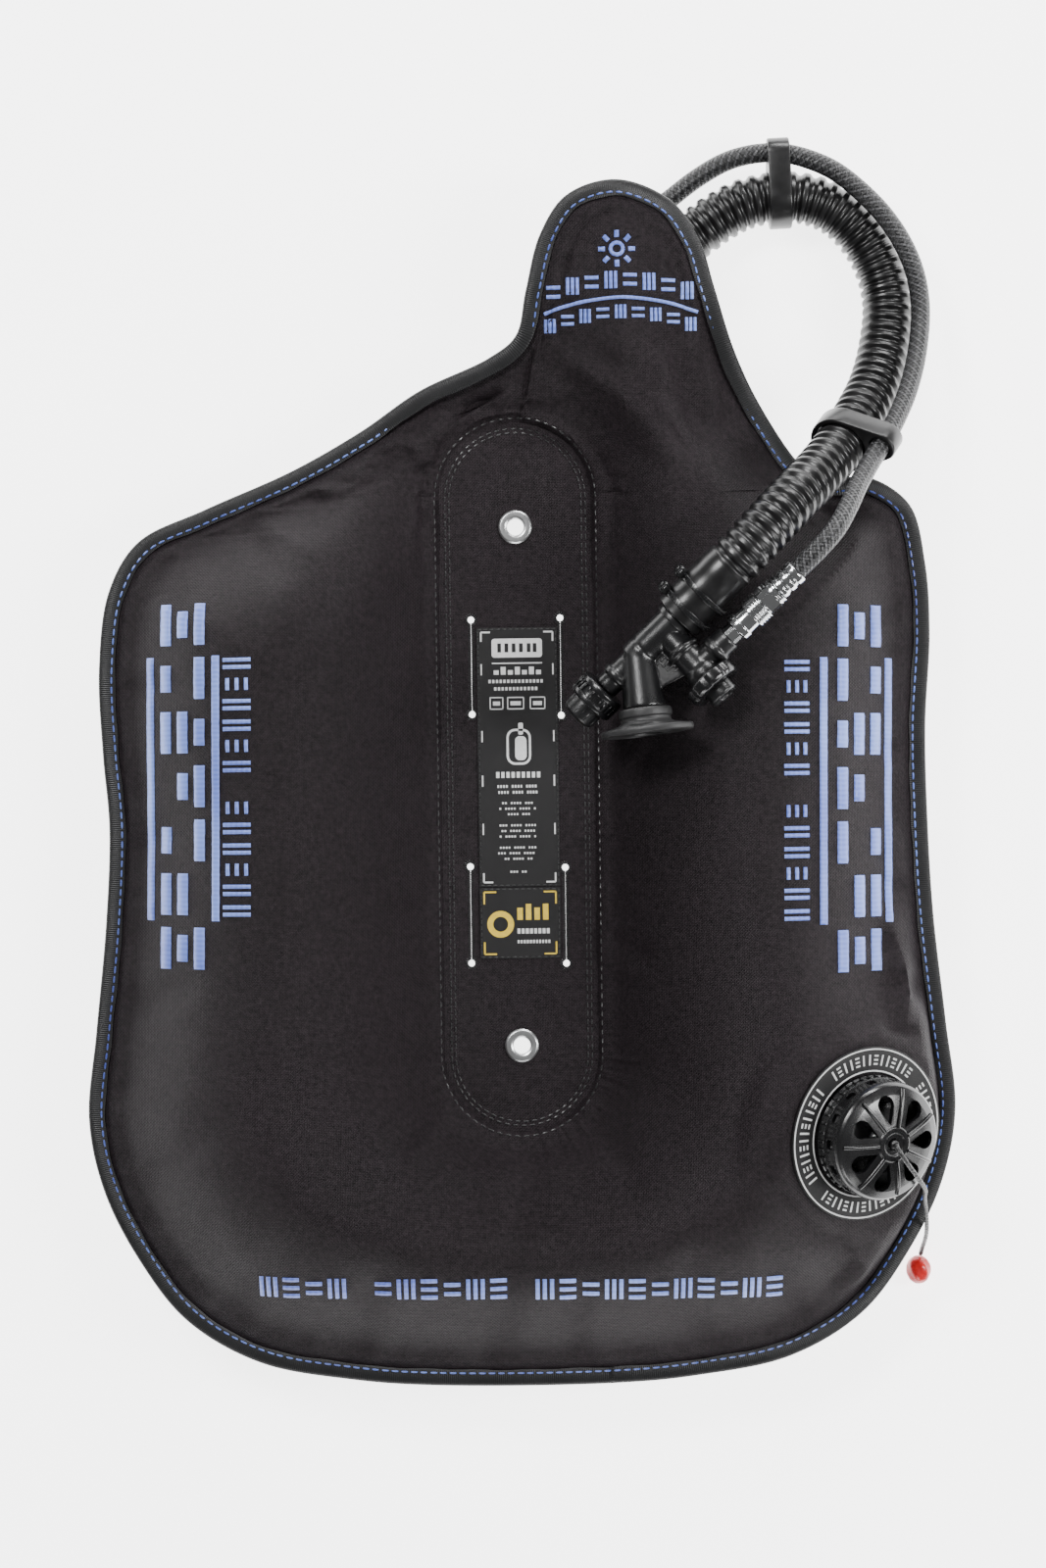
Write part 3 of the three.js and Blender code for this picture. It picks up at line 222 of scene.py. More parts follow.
def grosgrain(name, colour, pitch=0.0011):
    """Ribbed tape, with its ribs across the UV length."""
    finish = Finish(name, colour, 0.42, sheen_weight=0.03, specular_ior_level=0.35)
    x, y, _ = finish.axes("UV")
    rib = (x * (2 * math.pi / pitch)).sine() * 0.5 + 0.5
    edge = ((y - 0.5).size() * 2) ** 6
    worn = finish.noise(45, 4)
    light = tuple(min(1, c * 2.4 + 0.004) for c in colour)
    finish.set("Base Color", finish.blend((rib * 0.25 + worn * 0.35 + edge * 0.3).under(1), colour, light))
    finish.set("Roughness", worn * 0.25 + 0.3)
    finish.set("Normal", finish.bump(rib + edge * 0.8, 0.00018, 0.7))
    return finish.material


def thread(name, shaded_tone, light):
    """Twisted embroidery thread, lit and shaded in paint: lighter patches of painted sheen, and a silky run
    of painted highlight along each stitch.
    """
    finish = Finish(name, light, 0.38, sheen_weight=0.25, specular_ior_level=0.6)
    x, y, _ = finish.axes("UV")
    twist = (x * 2600 + y * 1.5).sine() * 0.5 + 0.5
    painted_sheen = finish.noise(14, 3)
    # Painted sheen: the colour runs from the shaded tone to the lit tone in noise patches, as reflections
    # fall on satin stitch, plus a painted highlight along each twist.
    share = ((painted_sheen - 0.35) * 2.2 + twist * 0.22).over(0).under(1)
    finish.set("Base Color", finish.blend(share, shaded_tone, light))
    finish.set("Roughness", twist * 0.15 + 0.3)
    finish.set("Normal", finish.bump(twist, 0.00016, 0.7))
    return finish.material


def print_ink(name, colour):
    finish = Finish(name, colour, 0.5)
    wear = finish.noise(420, 4)
    rubbed = tuple(c * 0.72 for c in colour)
    finish.set("Base Color", finish.blend((wear * 1.5 - 0.3).over(0).under(1), rubbed, colour))
    finish.set("Roughness", wear * 0.2 + 0.4)
    return finish.material


def satin_label():
    finish = Finish("woven_label", (0.006, 0.006, 0.0064), 0.4, specular_ior_level=0.3)
    x, y, _ = finish.axes()
    weave = woven(finish, x, y, 0.00042)
    cloud = finish.noise(60, 3)
    tone = cloud * 0.5 + weave * 0.4
    finish.set("Base Color", finish.blend(tone, (0.004, 0.0038, 0.0042), (0.013, 0.0124, 0.013)))
    finish.set("Roughness", cloud * 0.2 + 0.34)
    finish.set("Normal", finish.bump(weave, 0.00008, 0.5))
    return finish.material


def moulded(name="moulded_plastic", colour=(0.004, 0.004, 0.0044), rough=0.28, grain=0.00009):
    """Spark-textured plastic, a little polished and dusty in patches."""
    finish = Finish(name, colour, rough, specular_ior_level=0.62)
    grains = finish.noise(1500, 3)
    smear = finish.noise(38, 4)
    light = tuple(c * 2.0 + 0.002 for c in colour)
    finish.set("Base Color", finish.blend((smear * 1.4 - 0.35).over(0).under(1), colour, light))
    finish.set("Roughness", (smear * 0.26 + grains * 0.1 + rough - 0.16).over(0.12))
    finish.set("Normal", finish.bump(grains, grain, 0.8))
    return finish.material


def rubber():
    finish = Finish("hose_rubber", (0.004, 0.0039, 0.0042), 0.35, specular_ior_level=0.6)
    dust = finish.noise(70, 5, rough=0.65)
    fine = finish.noise(1100, 2)
    share = (dust * 1.7 - 0.55).over(0).under(1)
    finish.set("Base Color", finish.blend(share, (0.0022, 0.0021, 0.0023), (0.0095, 0.0092, 0.0098)))
    finish.set("Roughness", dust * 0.24 + 0.2)
    finish.set("Normal", finish.bump(fine, 0.00005, 0.5))
    return finish.material


def braid():
    """Nylon braid in a diamond, dark with a paler thread. UV runs along and round the hose."""
    finish = Finish("nylon_braid", (0.03, 0.03, 0.032), 0.42, specular_ior_level=0.5)
    along, around, _ = finish.axes("UV")
    left, right = along * 420 + around * 10, along * 420 - around * 10
    a, b = (left * math.pi).sine(), (right * math.pi).sine()
    over = (a * b) > 0
    height = a.size() * over + b.size() * (1 - over)
    fleck = ((left * 0.5).fraction() < 0.28).over((right * 0.5).fraction() < 0.16)
    fine = ((along * 2400 + around * 60) * math.pi).sine() * 0.5 + 0.5
    share = (fleck * 0.75 + fine * 0.15) * height
    finish.set("Base Color", finish.blend(share, (0.005, 0.005, 0.0055), (0.085, 0.085, 0.09)))
    finish.set("Roughness", 0.5 - height * 0.16)
    finish.set("Normal", finish.bump(height + fine * 0.15, 0.0004, 0.9))
    return finish.material


def metal(name, colour, rough, brushed=0.0):
    finish = Finish(name, colour, rough, metallic=1.0)
    scratches = finish.noise(240, 4, stretch=(1, 1, 9))
    stains = finish.noise(55, 4)
    dull = tuple(c * 0.7 for c in colour)
    finish.set("Base Color", finish.blend((stains * 1.5 - 0.45).over(0).under(1), colour, dull))
    finish.set("Roughness", stains * 0.12 + scratches * brushed + rough - 0.05)
    finish.set("Normal", finish.bump(scratches, 0.00002, 0.1 + brushed))
    return finish.material


def ball_finish():
    finish = Finish("knob_red", (0.55, 0.012, 0.014), 0.35, coat_weight=0.25, coat_roughness=0.2)
    scuff = finish.noise(320, 4)
    worn = (scuff * 1.6 - 0.5).over(0).under(1)
    finish.set("Base Color", finish.blend(worn, (0.62, 0.014, 0.012), (0.36, 0.006, 0.01)))
    finish.set("Roughness", scuff * 0.3 + 0.2)
    return finish.material


def film():
    finish = Finish("bladder_film", (0.42, 0.43, 0.42), 0.4)
    cloud = finish.noise(30, 3)
    finish.set("Base Color", finish.blend(cloud, (0.34, 0.35, 0.34), (0.5, 0.51, 0.5)))
    finish.set("Normal", finish.bump(finish.noise(220, 3), 0.0003, 0.5))
    return finish.material


def floor_finish():
    finish = Finish("studio_floor", (0.9, 0.9, 0.9), 0.7, emission_strength=4.0)
    grain = finish.noise(5, 3)
    finish.set("Base Color", finish.blend(grain, (0.88, 0.88, 0.88), (0.92, 0.92, 0.92)))
    finish.set("Emission Color", (1, 1, 1, 1))
    return finish.material


CLOTH = cordura()
TAPE = grosgrain("binding_tape", (0.005, 0.005, 0.0055))
ZIP_CLOTH = grosgrain("zip_cloth", (0.009, 0.009, 0.0095), 0.0016)
BLUE = thread("blue_thread", (0.03, 0.055, 0.32), (0.135, 0.235, 0.68))
EMBROIDERY = thread("embroidery_thread", (0.075, 0.12, 0.5), (0.24, 0.36, 0.86))
BLACK_THREAD = thread("black_thread", (0.003, 0.003, 0.0034), (0.011, 0.011, 0.012))
WHITE_INK = print_ink("white_print", (0.72, 0.72, 0.72))
YELLOW_INK = print_ink("yellow_print", (0.78, 0.55, 0.05))
LABEL = satin_label()
PLASTIC = moulded()
GLOSS = moulded("polished_plastic", (0.0032, 0.0032, 0.0036), 0.22, 0.00004)
MATT = moulded("matt_plastic", (0.012, 0.012, 0.0125), 0.5, 0.00012)
RUBBER = rubber()
BRAID = braid()
CHROME = metal("chrome_plate", (0.7, 0.71, 0.72), 0.12)
STEEL = metal("stainless_steel", (0.66, 0.665, 0.67), 0.24, 0.12)
ZIP_METAL = metal("zip_metal", (0.16, 0.16, 0.17), 0.36, 0.1)
RED = ball_finish()
FILM = film()


# ---------------------------------------------------------------- shape writing

class Shape:
    """Points in millimetres and faces, gathered until they are one piece."""

    def __init__(self, matrix=None):
        self.points, self.faces, self.uvs = [], [], []
        self.matrix = matrix or Matrix()

    def add(self, points, faces, uvs=None, matrix=None):
        """uvs is one pair for each point, or nothing."""
        start = len(self.points)
        at = self.matrix @ matrix if matrix is not None else self.matrix
        self.points += [tuple(at @ Vector(p)) for p in points]
        self.faces += [[start + i for i in face] for face in faces]
        self.uvs += list(uvs) if uvs is not None else [(p[0] * MM, p[1] * MM) for p in points]
        return self

    def turned(self, profile, segments=48, matrix=None, ease=0.4, wave=None):
        """A body of revolution about Z. A profile whose ends meet is a ring.

        wave(angle, radius, height) scales the radius.
        """
        looped = profile[0] == profile[-1]
        line = eased(profile[:-1] if looped else profile, ease, looped)
        rows, points, faces, uvs = [], [], [], []
        for radius, height in line:
            first = len(points)
            if radius < 1e-6:
                points.append((0, 0, height))
                uvs.append((0, height * MM))
                rows.append([first] * segments)
                continue
            for i in range(segments):
                angle = 2 * math.pi * i / segments
                r = radius * (wave(angle, radius, height) if wave else 1)
                points.append((r * math.cos(angle), r * math.sin(angle), height))
                uvs.append((radius * angle * MM, height * MM))
            rows.append(list(range(first, first + segments)))
        pairs = list(zip(rows, rows[1:])) + ([(rows[-1], rows[0])] if looped else [])
        for low, high in pairs:
            for i in range(segments):
                j = (i + 1) % segments
                face = [low[i], low[j], high[j], high[i]]
                face = [p for k, p in enumerate(face) if p != face[k - 1]]
                if len(face) > 2:
                    faces.append(face)
        return self.add(points, faces, uvs, matrix)

    def tube(self, line, radius, around=24, ends=True):
        """A tube along a line. radius is a number or one for each point."""
        line = np.asarray(line, float)
        radius = np.broadcast_to(radius, len(line))
        travelled = lengths(line)
        sides, ups = carried(line)
        points, uvs, faces = [], [], []
        for p, r, side, up, s in zip(line, radius, sides, ups, travelled):
            for i in range(around):
                angle = 2 * math.pi * i / around
                points.append(tuple(p + r * (math.cos(angle) * side + math.sin(angle) * up)))
                uvs.append((s * MM, i / around))
        for k in range(len(line) - 1):
            for i in range(around):
                j = (i + 1) % around
                faces.append([k * around + i, k * around + j, (k + 1) * around + j, (k + 1) * around + i])
        if ends:
            last = (len(line) - 1) * around
            faces.append(list(range(around))[::-1])
            faces.append([last + i for i in range(around)])
        return self.add(points, faces, uvs)

    def block(self, size, at=(0, 0, 0), matrix=None, ease=0.3):
        """A box with eased edges, centred on a point."""
        half = [s / 2 for s in size]
        e = min(ease, *(h * 0.9 for h in half))
        points, faces = [], []
        for axis in range(3):
            for sign in (-1, 1):
                u, v = (axis + 1) % 3, (axis + 2) % 3
                first = len(points)
                for a, b in ((-1, -1), (1, -1), (1, 1), (-1, 1)):
                    p = [0, 0, 0]
                    p[axis], p[u], p[v] = sign * half[axis], a * (half[u] - e), b * (half[v] - e)
                    points.append(tuple(c + o for c, o in zip(p, at)))
                quad = [first, first + 1, first + 2, first + 3]
                faces.append(quad if sign > 0 else quad[::-1])
        start = len(self.points)
        self.add(points, faces, None, matrix)
        hull(self, start)
        return self

    def build(self, name, material, body="wing", slot=None, replaces=(), angle=38, levels=0, uv=True):
        mesh = bpy.data.meshes.new(name)
        mesh.from_pydata([tuple(c * MM for c in p) for p in self.points], [], self.faces)
        if uv:
            layer = mesh.uv_layers.new(name="UVMap")
            for loop in mesh.loops:
                layer.data[loop.index].uv = self.uvs[loop.vertex_index]
        return piece(name, mesh, material, body, slot, replaces, angle, levels)


def hull(shape, start):
    """Closes the gaps between an eased box's six faces: its edges and corners."""
    points = [Vector(p) for p in shape.points[start:]]
    quads = [list(range(start + 4 * k, start + 4 * k + 4)) for k in range(6)]
    centre = sum(points, Vector()) / len(points)

    def at(i):
        return Vector(shape.points[i])

    def outward(face):
        a, b, c = (at(i) for i in face[:3])
        middle = sum((at(i) for i in face), Vector()) / len(face)
        return face if (b - a).cross(c - a).dot(middle - centre) > 0 else face[::-1]

    edges = {}
    for i in range(start, len(shape.points)):
        axis = (i - start) // 8
        signs = corner_signs(i - start)
        edges.setdefault(signs, []).append((axis, i))
    for signs, group in edges.items():
        shape.faces.append(outward([i for _, i in sorted(group)]))
    for quad in quads:
        for k in range(len(shape.faces) - 1, -1, -1):
            if set(shape.faces[k]) == set(quad):
                shape.faces[k] = outward(quad)
                break
    corners = {signs: dict(group) for signs, group in edges.items()}
    for axis in range(3):
        u, v = (axis + 1) % 3, (axis + 2) % 3
        for a in (-1, 1):
            for b in (-1, 1):
                low, high = [0, 0, 0], [0, 0, 0]
                low[axis], high[axis] = -1, 1
                low[u] = high[u] = a
                low[v] = high[v] = b
                low, high = corners[tuple(low)], corners[tuple(high)]
                shape.faces.append(outward([low[u], high[u], high[v], low[v]]))


def corner_signs(i):
    """Which corner of the box the i-th point of an eased box belongs to."""
    axis, rest = divmod(i, 8)
    sign, k = (-1, 1)[rest // 4], rest % 4
    a, b = ((-1, -1), (1, -1), (1, 1), (-1, 1))[k]
    signs = [0, 0, 0]
    signs[axis], signs[(axis + 1) % 3], signs[(axis + 2) % 3] = sign, a, b
    return tuple(signs)


def eased(profile, size, looped):
    """A profile with its corners rounded."""
    points = [np.array(p, float) for p in profile]
    line = []
    for i, b in enumerate(points):
        if not looped and i in (0, len(points) - 1):
            line.append(b)
            continue
        a, c = points[i - 1], points[(i + 1) % len(points)]
        u, v = a - b, c - b
        lu, lv = np.hypot(*u), np.hypot(*v)
        if size <= 0 or lu < 1e-6 or lv < 1e-6 or np.dot(u, v) / (lu * lv) < -0.985:
            line.append(b)
            continue
        p, q = b + u * min(size / lu, 0.45), b + v * min(size / lv, 0.45)
        line += [(1 - t) ** 2 * p + 2 * t * (1 - t) * b + t * t * q for t in (0, 0.33, 0.67, 1)]
    return [(max(0.0, float(r)), float(h)) for r, h in line]


def lengths(line):
    """Distance travelled at each point of a line."""
    steps = np.linalg.norm(np.diff(line, axis=0), axis=1)
    return np.concatenate([[0], np.cumsum(steps)])


def carried(line):
    """Two directions across a line at each point, carried along without twist."""
    ahead = np.gradient(line, axis=0)
    ahead /= np.linalg.norm(ahead, axis=1)[:, None]
    side = np.cross(ahead[0], [0.123, 0.456, 0.88])
    sides = []
    for t in ahead:
        side = side - t * np.dot(side, t)
        side = side / np.linalg.norm(side)
        sides.append(side)
    sides = np.array(sides)
    return sides, np.cross(ahead, sides)


def curved(points, looped=False, fine=24):
    """A smooth line through the points, as the part's hoses and outline run."""
    points = np.array(points, float)
    count = len(points)

    def get(i):
        return points[i % count]

    line = []
    for i in range(count if looped else count - 1):
        p1, p2 = get(i), get(i + 1)
        p0 = get(i - 1) if looped or i > 0 else 2 * p1 - p2
        p3 = get(i + 2) if looped or i < count - 2 else 2 * p2 - p1
        d0, d1, d2 = (np.linalg.norm(b - a) ** 0.5 for a, b in ((p0, p1), (p1, p2), (p2, p3)))
        m1 = ((p1 - p0) / d0 - (p2 - p0) / (d0 + d1) + (p2 - p1) / d1) * d1
        m2 = ((p2 - p1) / d1 - (p3 - p1) / (d1 + d2) + (p3 - p2) / d2) * d1
        for t in np.arange(fine) / fine:
            line.append(
                p1 + m1 * t + (-3 * p1 + 3 * p2 - 2 * m1 - m2) * t * t
                + (2 * p1 - 2 * p2 + m1 + m2) * t ** 3
            )
    line.append(points[0] if looped else points[-1])
    return np.array(line)


def spaced(line, count):
    """The line again, with points at equal distances."""
    travelled = lengths(line)
    at = np.linspace(0, travelled[-1], count)
    return np.stack([np.interp(at, travelled, line[:, k]) for k in range(line.shape[1])], axis=1)


def piece(name, mesh, material, body="wing", slot=None, replaces=(), angle=38, levels=0):
    """Links a finished mesh, shades it, and ties it to the frame."""
    mesh.validate()
    mesh.materials.clear()
    mesh.materials.append(material)
    mesh.shade_smooth()
    mesh.set_sharp_from_angle(angle=math.radians(angle))
    made = bpy.data.objects.new(name, mesh)
    bpy.context.scene.collection.objects.link(made)
    if levels:
        smoother = made.modifiers.new("subdivide", "SUBSURF")
        smoother.levels = smoother.render_levels = levels
        settle(made)
    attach(made, body)
    if replaces:
        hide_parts(*replaces)
    return made


def settle(made):
    """Applies every modifier on a piece."""
    bpy.context.view_layer.update()
    whole = made.evaluated_get(bpy.context.evaluated_depsgraph_get())
    mesh = bpy.data.meshes.new_from_object(whole)
    made.modifiers.clear()
    made.data = mesh
    return made


def dress(node, material):
    """A CAD piece that stays, with its finish."""
    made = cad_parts[node]
    made.data.materials.clear()
    made.data.materials.append(material)


def carved(made, *cutters):
    """Takes the cutters out of a piece."""
    for cutter in cutters:
        tool = made.modifiers.new("carve", "BOOLEAN")
        tool.operation, tool.solver, tool.object = "DIFFERENCE", "EXACT", cutter
    settle(made)
    for cutter in cutters:
        bpy.data.objects.remove(cutter)
    return made


def loose(shape, name="cutter"):
    """A bare object from a shape, for carving and blending."""
    mesh = bpy.data.meshes.new(name)
    mesh.from_pydata([tuple(c * MM for c in p) for p in shape.points], [], shape.faces)
    made = bpy.data.objects.new(name, mesh)
    bpy.context.scene.collection.objects.link(made)
    return made


def fused(made, voxel, smooth=6):
    """Melts overlapping bodies into one moulding with soft inside corners."""
    remesh = made.modifiers.new("melt", "REMESH")
    remesh.mode, remesh.voxel_size, remesh.use_smooth_shade = "VOXEL", voxel * MM, True
    relax = made.modifiers.new("relax", "SMOOTH")
    relax.factor, relax.iterations = 0.6, smooth
    return settle(made)


def extruded(name, outlines, depth, ease, matrix, material, **facts):
    """A flat piece cut from closed outlines, the first outside and the rest holes."""
    curve = bpy.data.curves.new(name, "CURVE")
    curve.dimensions, curve.fill_mode = "2D", "BOTH"
    curve.extrude, curve.bevel_depth, curve.bevel_resolution = (depth / 2 - ease) * MM, ease * MM, 2
    curve.offset = -ease * MM
    for outline in outlines:
        spline = curve.splines.new("POLY")
        spline.points.add(len(outline) - 1)
        spline.points.foreach_set("co", [c for x, y in outline for c in (x * MM, y * MM, 0, 1)])
        spline.use_cyclic_u = True
    flat = bpy.data.objects.new(name, curve)
    bpy.context.scene.collection.objects.link(flat)
    bpy.context.view_layer.update()
    mesh = bpy.data.meshes.new_from_object(flat.evaluated_get(bpy.context.evaluated_depsgraph_get()))
    bpy.data.objects.remove(flat)
    scaled = matrix.copy()
    scaled.translation = scaled.translation * MM
    mesh.transform(scaled)
    return piece(name, mesh, material, **facts)


def arc(x, y, radius, start, end, count=16):
    return [
        (x + radius * math.cos(a), y + radius * math.sin(a)) for a in np.linspace(start, end, count)
    ]


def moved(x=0, y=0, z=0):
    return Matrix.Translation((x, y, z))


def turn(angle, axis):
    return Matrix.Rotation(angle, 4, axis)


# ---------------------------------------------------------------- the wing's outline and faces

LOWER_SIDE = [
    (48, -322.5), (92, -319), (143, -309), (182, -286), (208, -252), (226, -215), (233.5, -177),
    (229, -130), (223, -72), (220.5, -20),
]
UPPER = [
    (220, 30), (223, 80), (221, 118), (213, 149), (191, 164), (169, 163.5), (156.8, 169), (135, 200),
    (119, 232), (108.5, 264), (101, 289), (86, 311), (57, 323), (30, 315), (15.5, 294), (7.5, 264),
    (2, 241), (-12, 230), (-50.5, 213), (-82.4, 192), (-119, 171.6), (-167, 151), (-203, 134),
    (-219, 108), (-225, 66), (-223.5, 20),
]
PANEL_RADIUS, PANEL_TOP, PANEL_BOTTOM = 41, 155, -145
RIM_WIDTH, RIM_HALF = 9, 1.15
VALVE_AT, VALVE_DOWNHILL, VALVE_SLOPE = (181, -186, 77), (0.9536, -0.3011), 0.6
ELBOW_AT = (58, 275)

drawn = curved(LOWER_SIDE + UPPER + [(-x, y) for x, y in reversed(LOWER_SIDE)], looped=True)
marks = spaced(drawn, 65)[:-1]
drawn = drawn - (marks.max(axis=0) + marks.min(axis=0)) / 2
EDGE = spaced(drawn, 900)


def ease(x, low, high):
    t = np.clip((x - low) / (high - low), 0, 1)
    return t * t * (3 - 2 * t)


def to_edge(x, y):
    """Distance in plan from the wing's edge."""
    start, step = EDGE[:-1:3], EDGE[3::3] - EDGE[:-3:3]
    start = start[:len(step)]
    flat = np.stack([np.ravel(x), np.ravel(y)], axis=1)
    least = np.full(len(flat), np.inf)
    for a, d in zip(start, step):
        t = np.clip(((flat - a) @ d) / (d @ d), 0, 1)
        least = np.minimum(least, np.hypot(*(flat - a - t[:, None] * d).T))
    return least.reshape(np.shape(x))


def pillow(distance, reach):
    return 1 - (1 - np.clip(distance / reach, 0, 1)) ** 2


def seam_height(y):
    return 40 + 22 * ease(y, 190, 270)


def fullness(x, y, rim):
    axis = np.clip(y, PANEL_BOTTOM, PANEL_TOP)
    return pillow(np.hypot(x, y - axis) - PANEL_RADIUS, 90) * pillow(rim - RIM_WIDTH, 85)


def valve_plane(x, y):
    """Height of the valve's flat seat, and the distance from its middle measured on it."""
    ax, ay = x - VALVE_AT[0], y - VALVE_AT[1]
    downhill = ax * VALVE_DOWNHILL[0] + ay * VALVE_DOWNHILL[1]
    return VALVE_AT[2] - VALVE_SLOPE * downhill, np.hypot(np.hypot(ax, ay), VALVE_SLOPE * downhill)


def front_face(x, y):
    """Outer face of the diver side."""
    rim = to_edge(x, y)
    seam = seam_height(y) + RIM_HALF
    rise = 60 - 44 * ease(y, 170, 262)
    soft = seam + rise * fullness(x, y, rim)
    flat, radius = valve_plane(x, y)
    height = flat + (soft - flat) * ease(radius, 50, 84)
    return np.clip(height, seam, seam + 9 * np.sqrt(np.maximum(0, rim - RIM_WIDTH)))


def back_drop(x, y):
    """The tank side without its flat seats. It keeps one section along the zip."""
    drop = 55 - 43 * ease(y, 170, 250)
    level = ease(-y, 256, 276) * (1 - ease(np.abs(x), 90, 132))
    x = x * (1 - level)
    return np.maximum(0, seam_height(y) - RIM_HALF - drop * fullness(x, y, to_edge(x, y)))


ELBOW_SEAT = float(back_drop(np.array([58.0]), np.array([275.0]))[0])


def back_face(x, y):
    """Outer face of the tank side, flat round the elbow."""
    soft = back_drop(x, y)
    radius = np.hypot(x - ELBOW_AT[0], y - ELBOW_AT[1])
    height = ELBOW_SEAT + (soft - ELBOW_SEAT) * ease(radius, 26, 40)
    return np.minimum(height, seam_height(y) - RIM_HALF)


def rims(count):
    """Edge points, their inward direction, and the panel's edge nearest to each."""
    rim = spaced(drawn, count + 1)[:-1]
    along = np.roll(rim, -1, axis=0) - np.roll(rim, 1, axis=0)
    along /= np.linalg.norm(along, axis=1)[:, None]
    inward = np.stack([-along[:, 1], along[:, 0]], axis=1)
    axis = np.stack([np.zeros(count), np.clip(rim[:, 1], PANEL_BOTTOM, PANEL_TOP)], axis=1)
    out = rim - axis
    out /= np.linalg.norm(out, axis=1)[:, None]
    return rim, inward, axis + PANEL_RADIUS * out


def sheet_plan(count, shares):
    """Plan points of one shell sheet: a row for each edge station, from the panel out to the fold."""
    rim, inward, inner = rims(count)
    outer = rim + inward * RIM_WIDTH
    fold = rim + inward * 1.3
    spread = np.array(shares)[None, :, None]
    body = inner[:, None] + (outer - inner)[:, None] * spread
    hem = outer[:, None] + (fold - outer)[:, None] * np.array([0.35, 0.7, 1])[None, :, None]
    return np.concatenate([body, hem], axis=1)


def seated(grid, face, side):
    """Heights of the plan points on a face. The hem lies flat on the seam."""
    x, y = grid[..., 0], grid[..., 1]
    z = face(x, y)
    hem = to_edge(x, y) < RIM_WIDTH + 0.05
    return np.where(hem, seam_height(y) + side * RIM_HALF, z)


# Creases in the cloth: from, to, depth, half width. They fade at both ends.
FRONT_CREASES = [
    ((-43, 176), (-44, 118), 3.2, 7), ((-38, 205), (-62, 150), -2.2, 9),
    ((-30, 214), (-8, 196), 2.2, 7), ((20, 214), (78, 168), 2.6, 9), ((34, 232), (104, 196), 2.2, 8),
    ((18, 236), (60, 205), -2.4, 8), ((52, 196), (58, 120), 2.4, 11), ((92, 208), (132, 150), 2.0, 10),
    ((70, 222), (84, 150), -2.0, 10), ((-150, 152), (-128, 118), 2.2, 6),
    ((-138, 146), (-108, 128), -1.6, 5), ((-196, 122), (-170, 96), 1.6, 7),
    ((-212, 60), (-176, 52), 1.3, 6), ((-216, -30), (-182, -22), 1.5, 6),
    ((-214, -120), (-176, -100), 1.7, 8), ((-206, -210), (-160, -176), 2.0, 9),
    ((-160, -284), (-128, -236), 2.2, 9), ((-90, -306), (-78, -252), 2.0, 8),
    ((-14, -310), (-6, -240), 2.6, 9), ((26, -312), (30, -262), 1.9, 7),
    ((96, -302), (86, -250), 2.2, 8), ((150, -290), (126, -244), 2.0, 8),
    ((196, -252), (176, -244), 2.0, 5), ((226, -150), (200, -134), 2.0, 5),
    ((214, -90), (184, -84), 1.8, 7), ((216, 20), (186, 16), 1.4, 6), ((214, 96), (184, 84), 1.8, 7),
    ((190, 152), (166, 118), 2.2, 7), ((110, 250), (84, 236), 1.5, 5), ((12, 262), (36, 254), 1.5, 5),
    ((-44, -60), (-66, -70), 1.6, 6), ((44, -80), (66, -92), 1.6, 6), ((-44, 30), (-68, 34), 1.4, 6),
    ((-36, -170), (-62, -206), 2.2, 8), ((34, -172), (58, -210), 2.2, 8),
    ((0, -190), (2, -232), 2.0, 9),
]
BACK_CREASES = [
    ((30, 214), (84, 172), 2.0, 9), ((-40, 208), (-66, 150), 2.0, 9),
    ((-150, 150), (-120, 116), 2.0, 8), ((-210, -100), (-168, -88), 1.8, 8),
    ((-200, -214), (-160, -180), 2.0, 9), ((212, -96), (176, -86), 1.8, 8),
    ((204, -214), (164, -182), 2.0, 9), ((-214, 40), (-176, 34), 1.6, 7),
    ((214, 60), (180, 52), 1.6, 7), ((-96, -300), (-90, -262), 1.6, 8),
    ((104, -300), (94, -262), 1.6, 8),
]


def creased(x, y, creases):
    """How far the creases draw the cloth in."""
    total = np.zeros(np.shape(x))
    for a, b, depth, width in creases:
        a, b = np.array(a, float), np.array(b, float)
        step = b - a
        length = np.hypot(*step)
        t = ((x - a[0]) * step[0] + (y - a[1]) * step[1]) / length ** 2
        bend = 0.12 * length * (t - 0.5) ** 2
        off = ((x - a[0]) * -step[1] + (y - a[1]) * step[0]) / length + bend
        total += 1.35 * depth * np.exp(-((off / width) ** 2)) * ease(t, -0.25, 0.3) * (1 - ease(t, 0.6, 1.35))
    return total


def puckers(x, y, rim, station, amount, seed):
    """Small gathers that run in from the two sewn lines."""
    wave = np.random.RandomState(seed)
    total = np.zeros(np.shape(x))
    for count in (46, 71, 103, 139):
        turn_by, strength = wave.uniform(0, 6.28), wave.uniform(0.6, 1.0) * (60 / count) ** 0.6
        total += strength * np.sin(station * count * 2 * math.pi + turn_by)
    axis = np.clip(y, PANEL_BOTTOM, PANEL_TOP)
    inner = np.hypot(x, y - axis) - PANEL_RADIUS
    near = np.exp(-((rim - 17) / 11) ** 2) + 0.6 * np.exp(-((inner - 9) / 9) ** 2)
    return amount * total * near


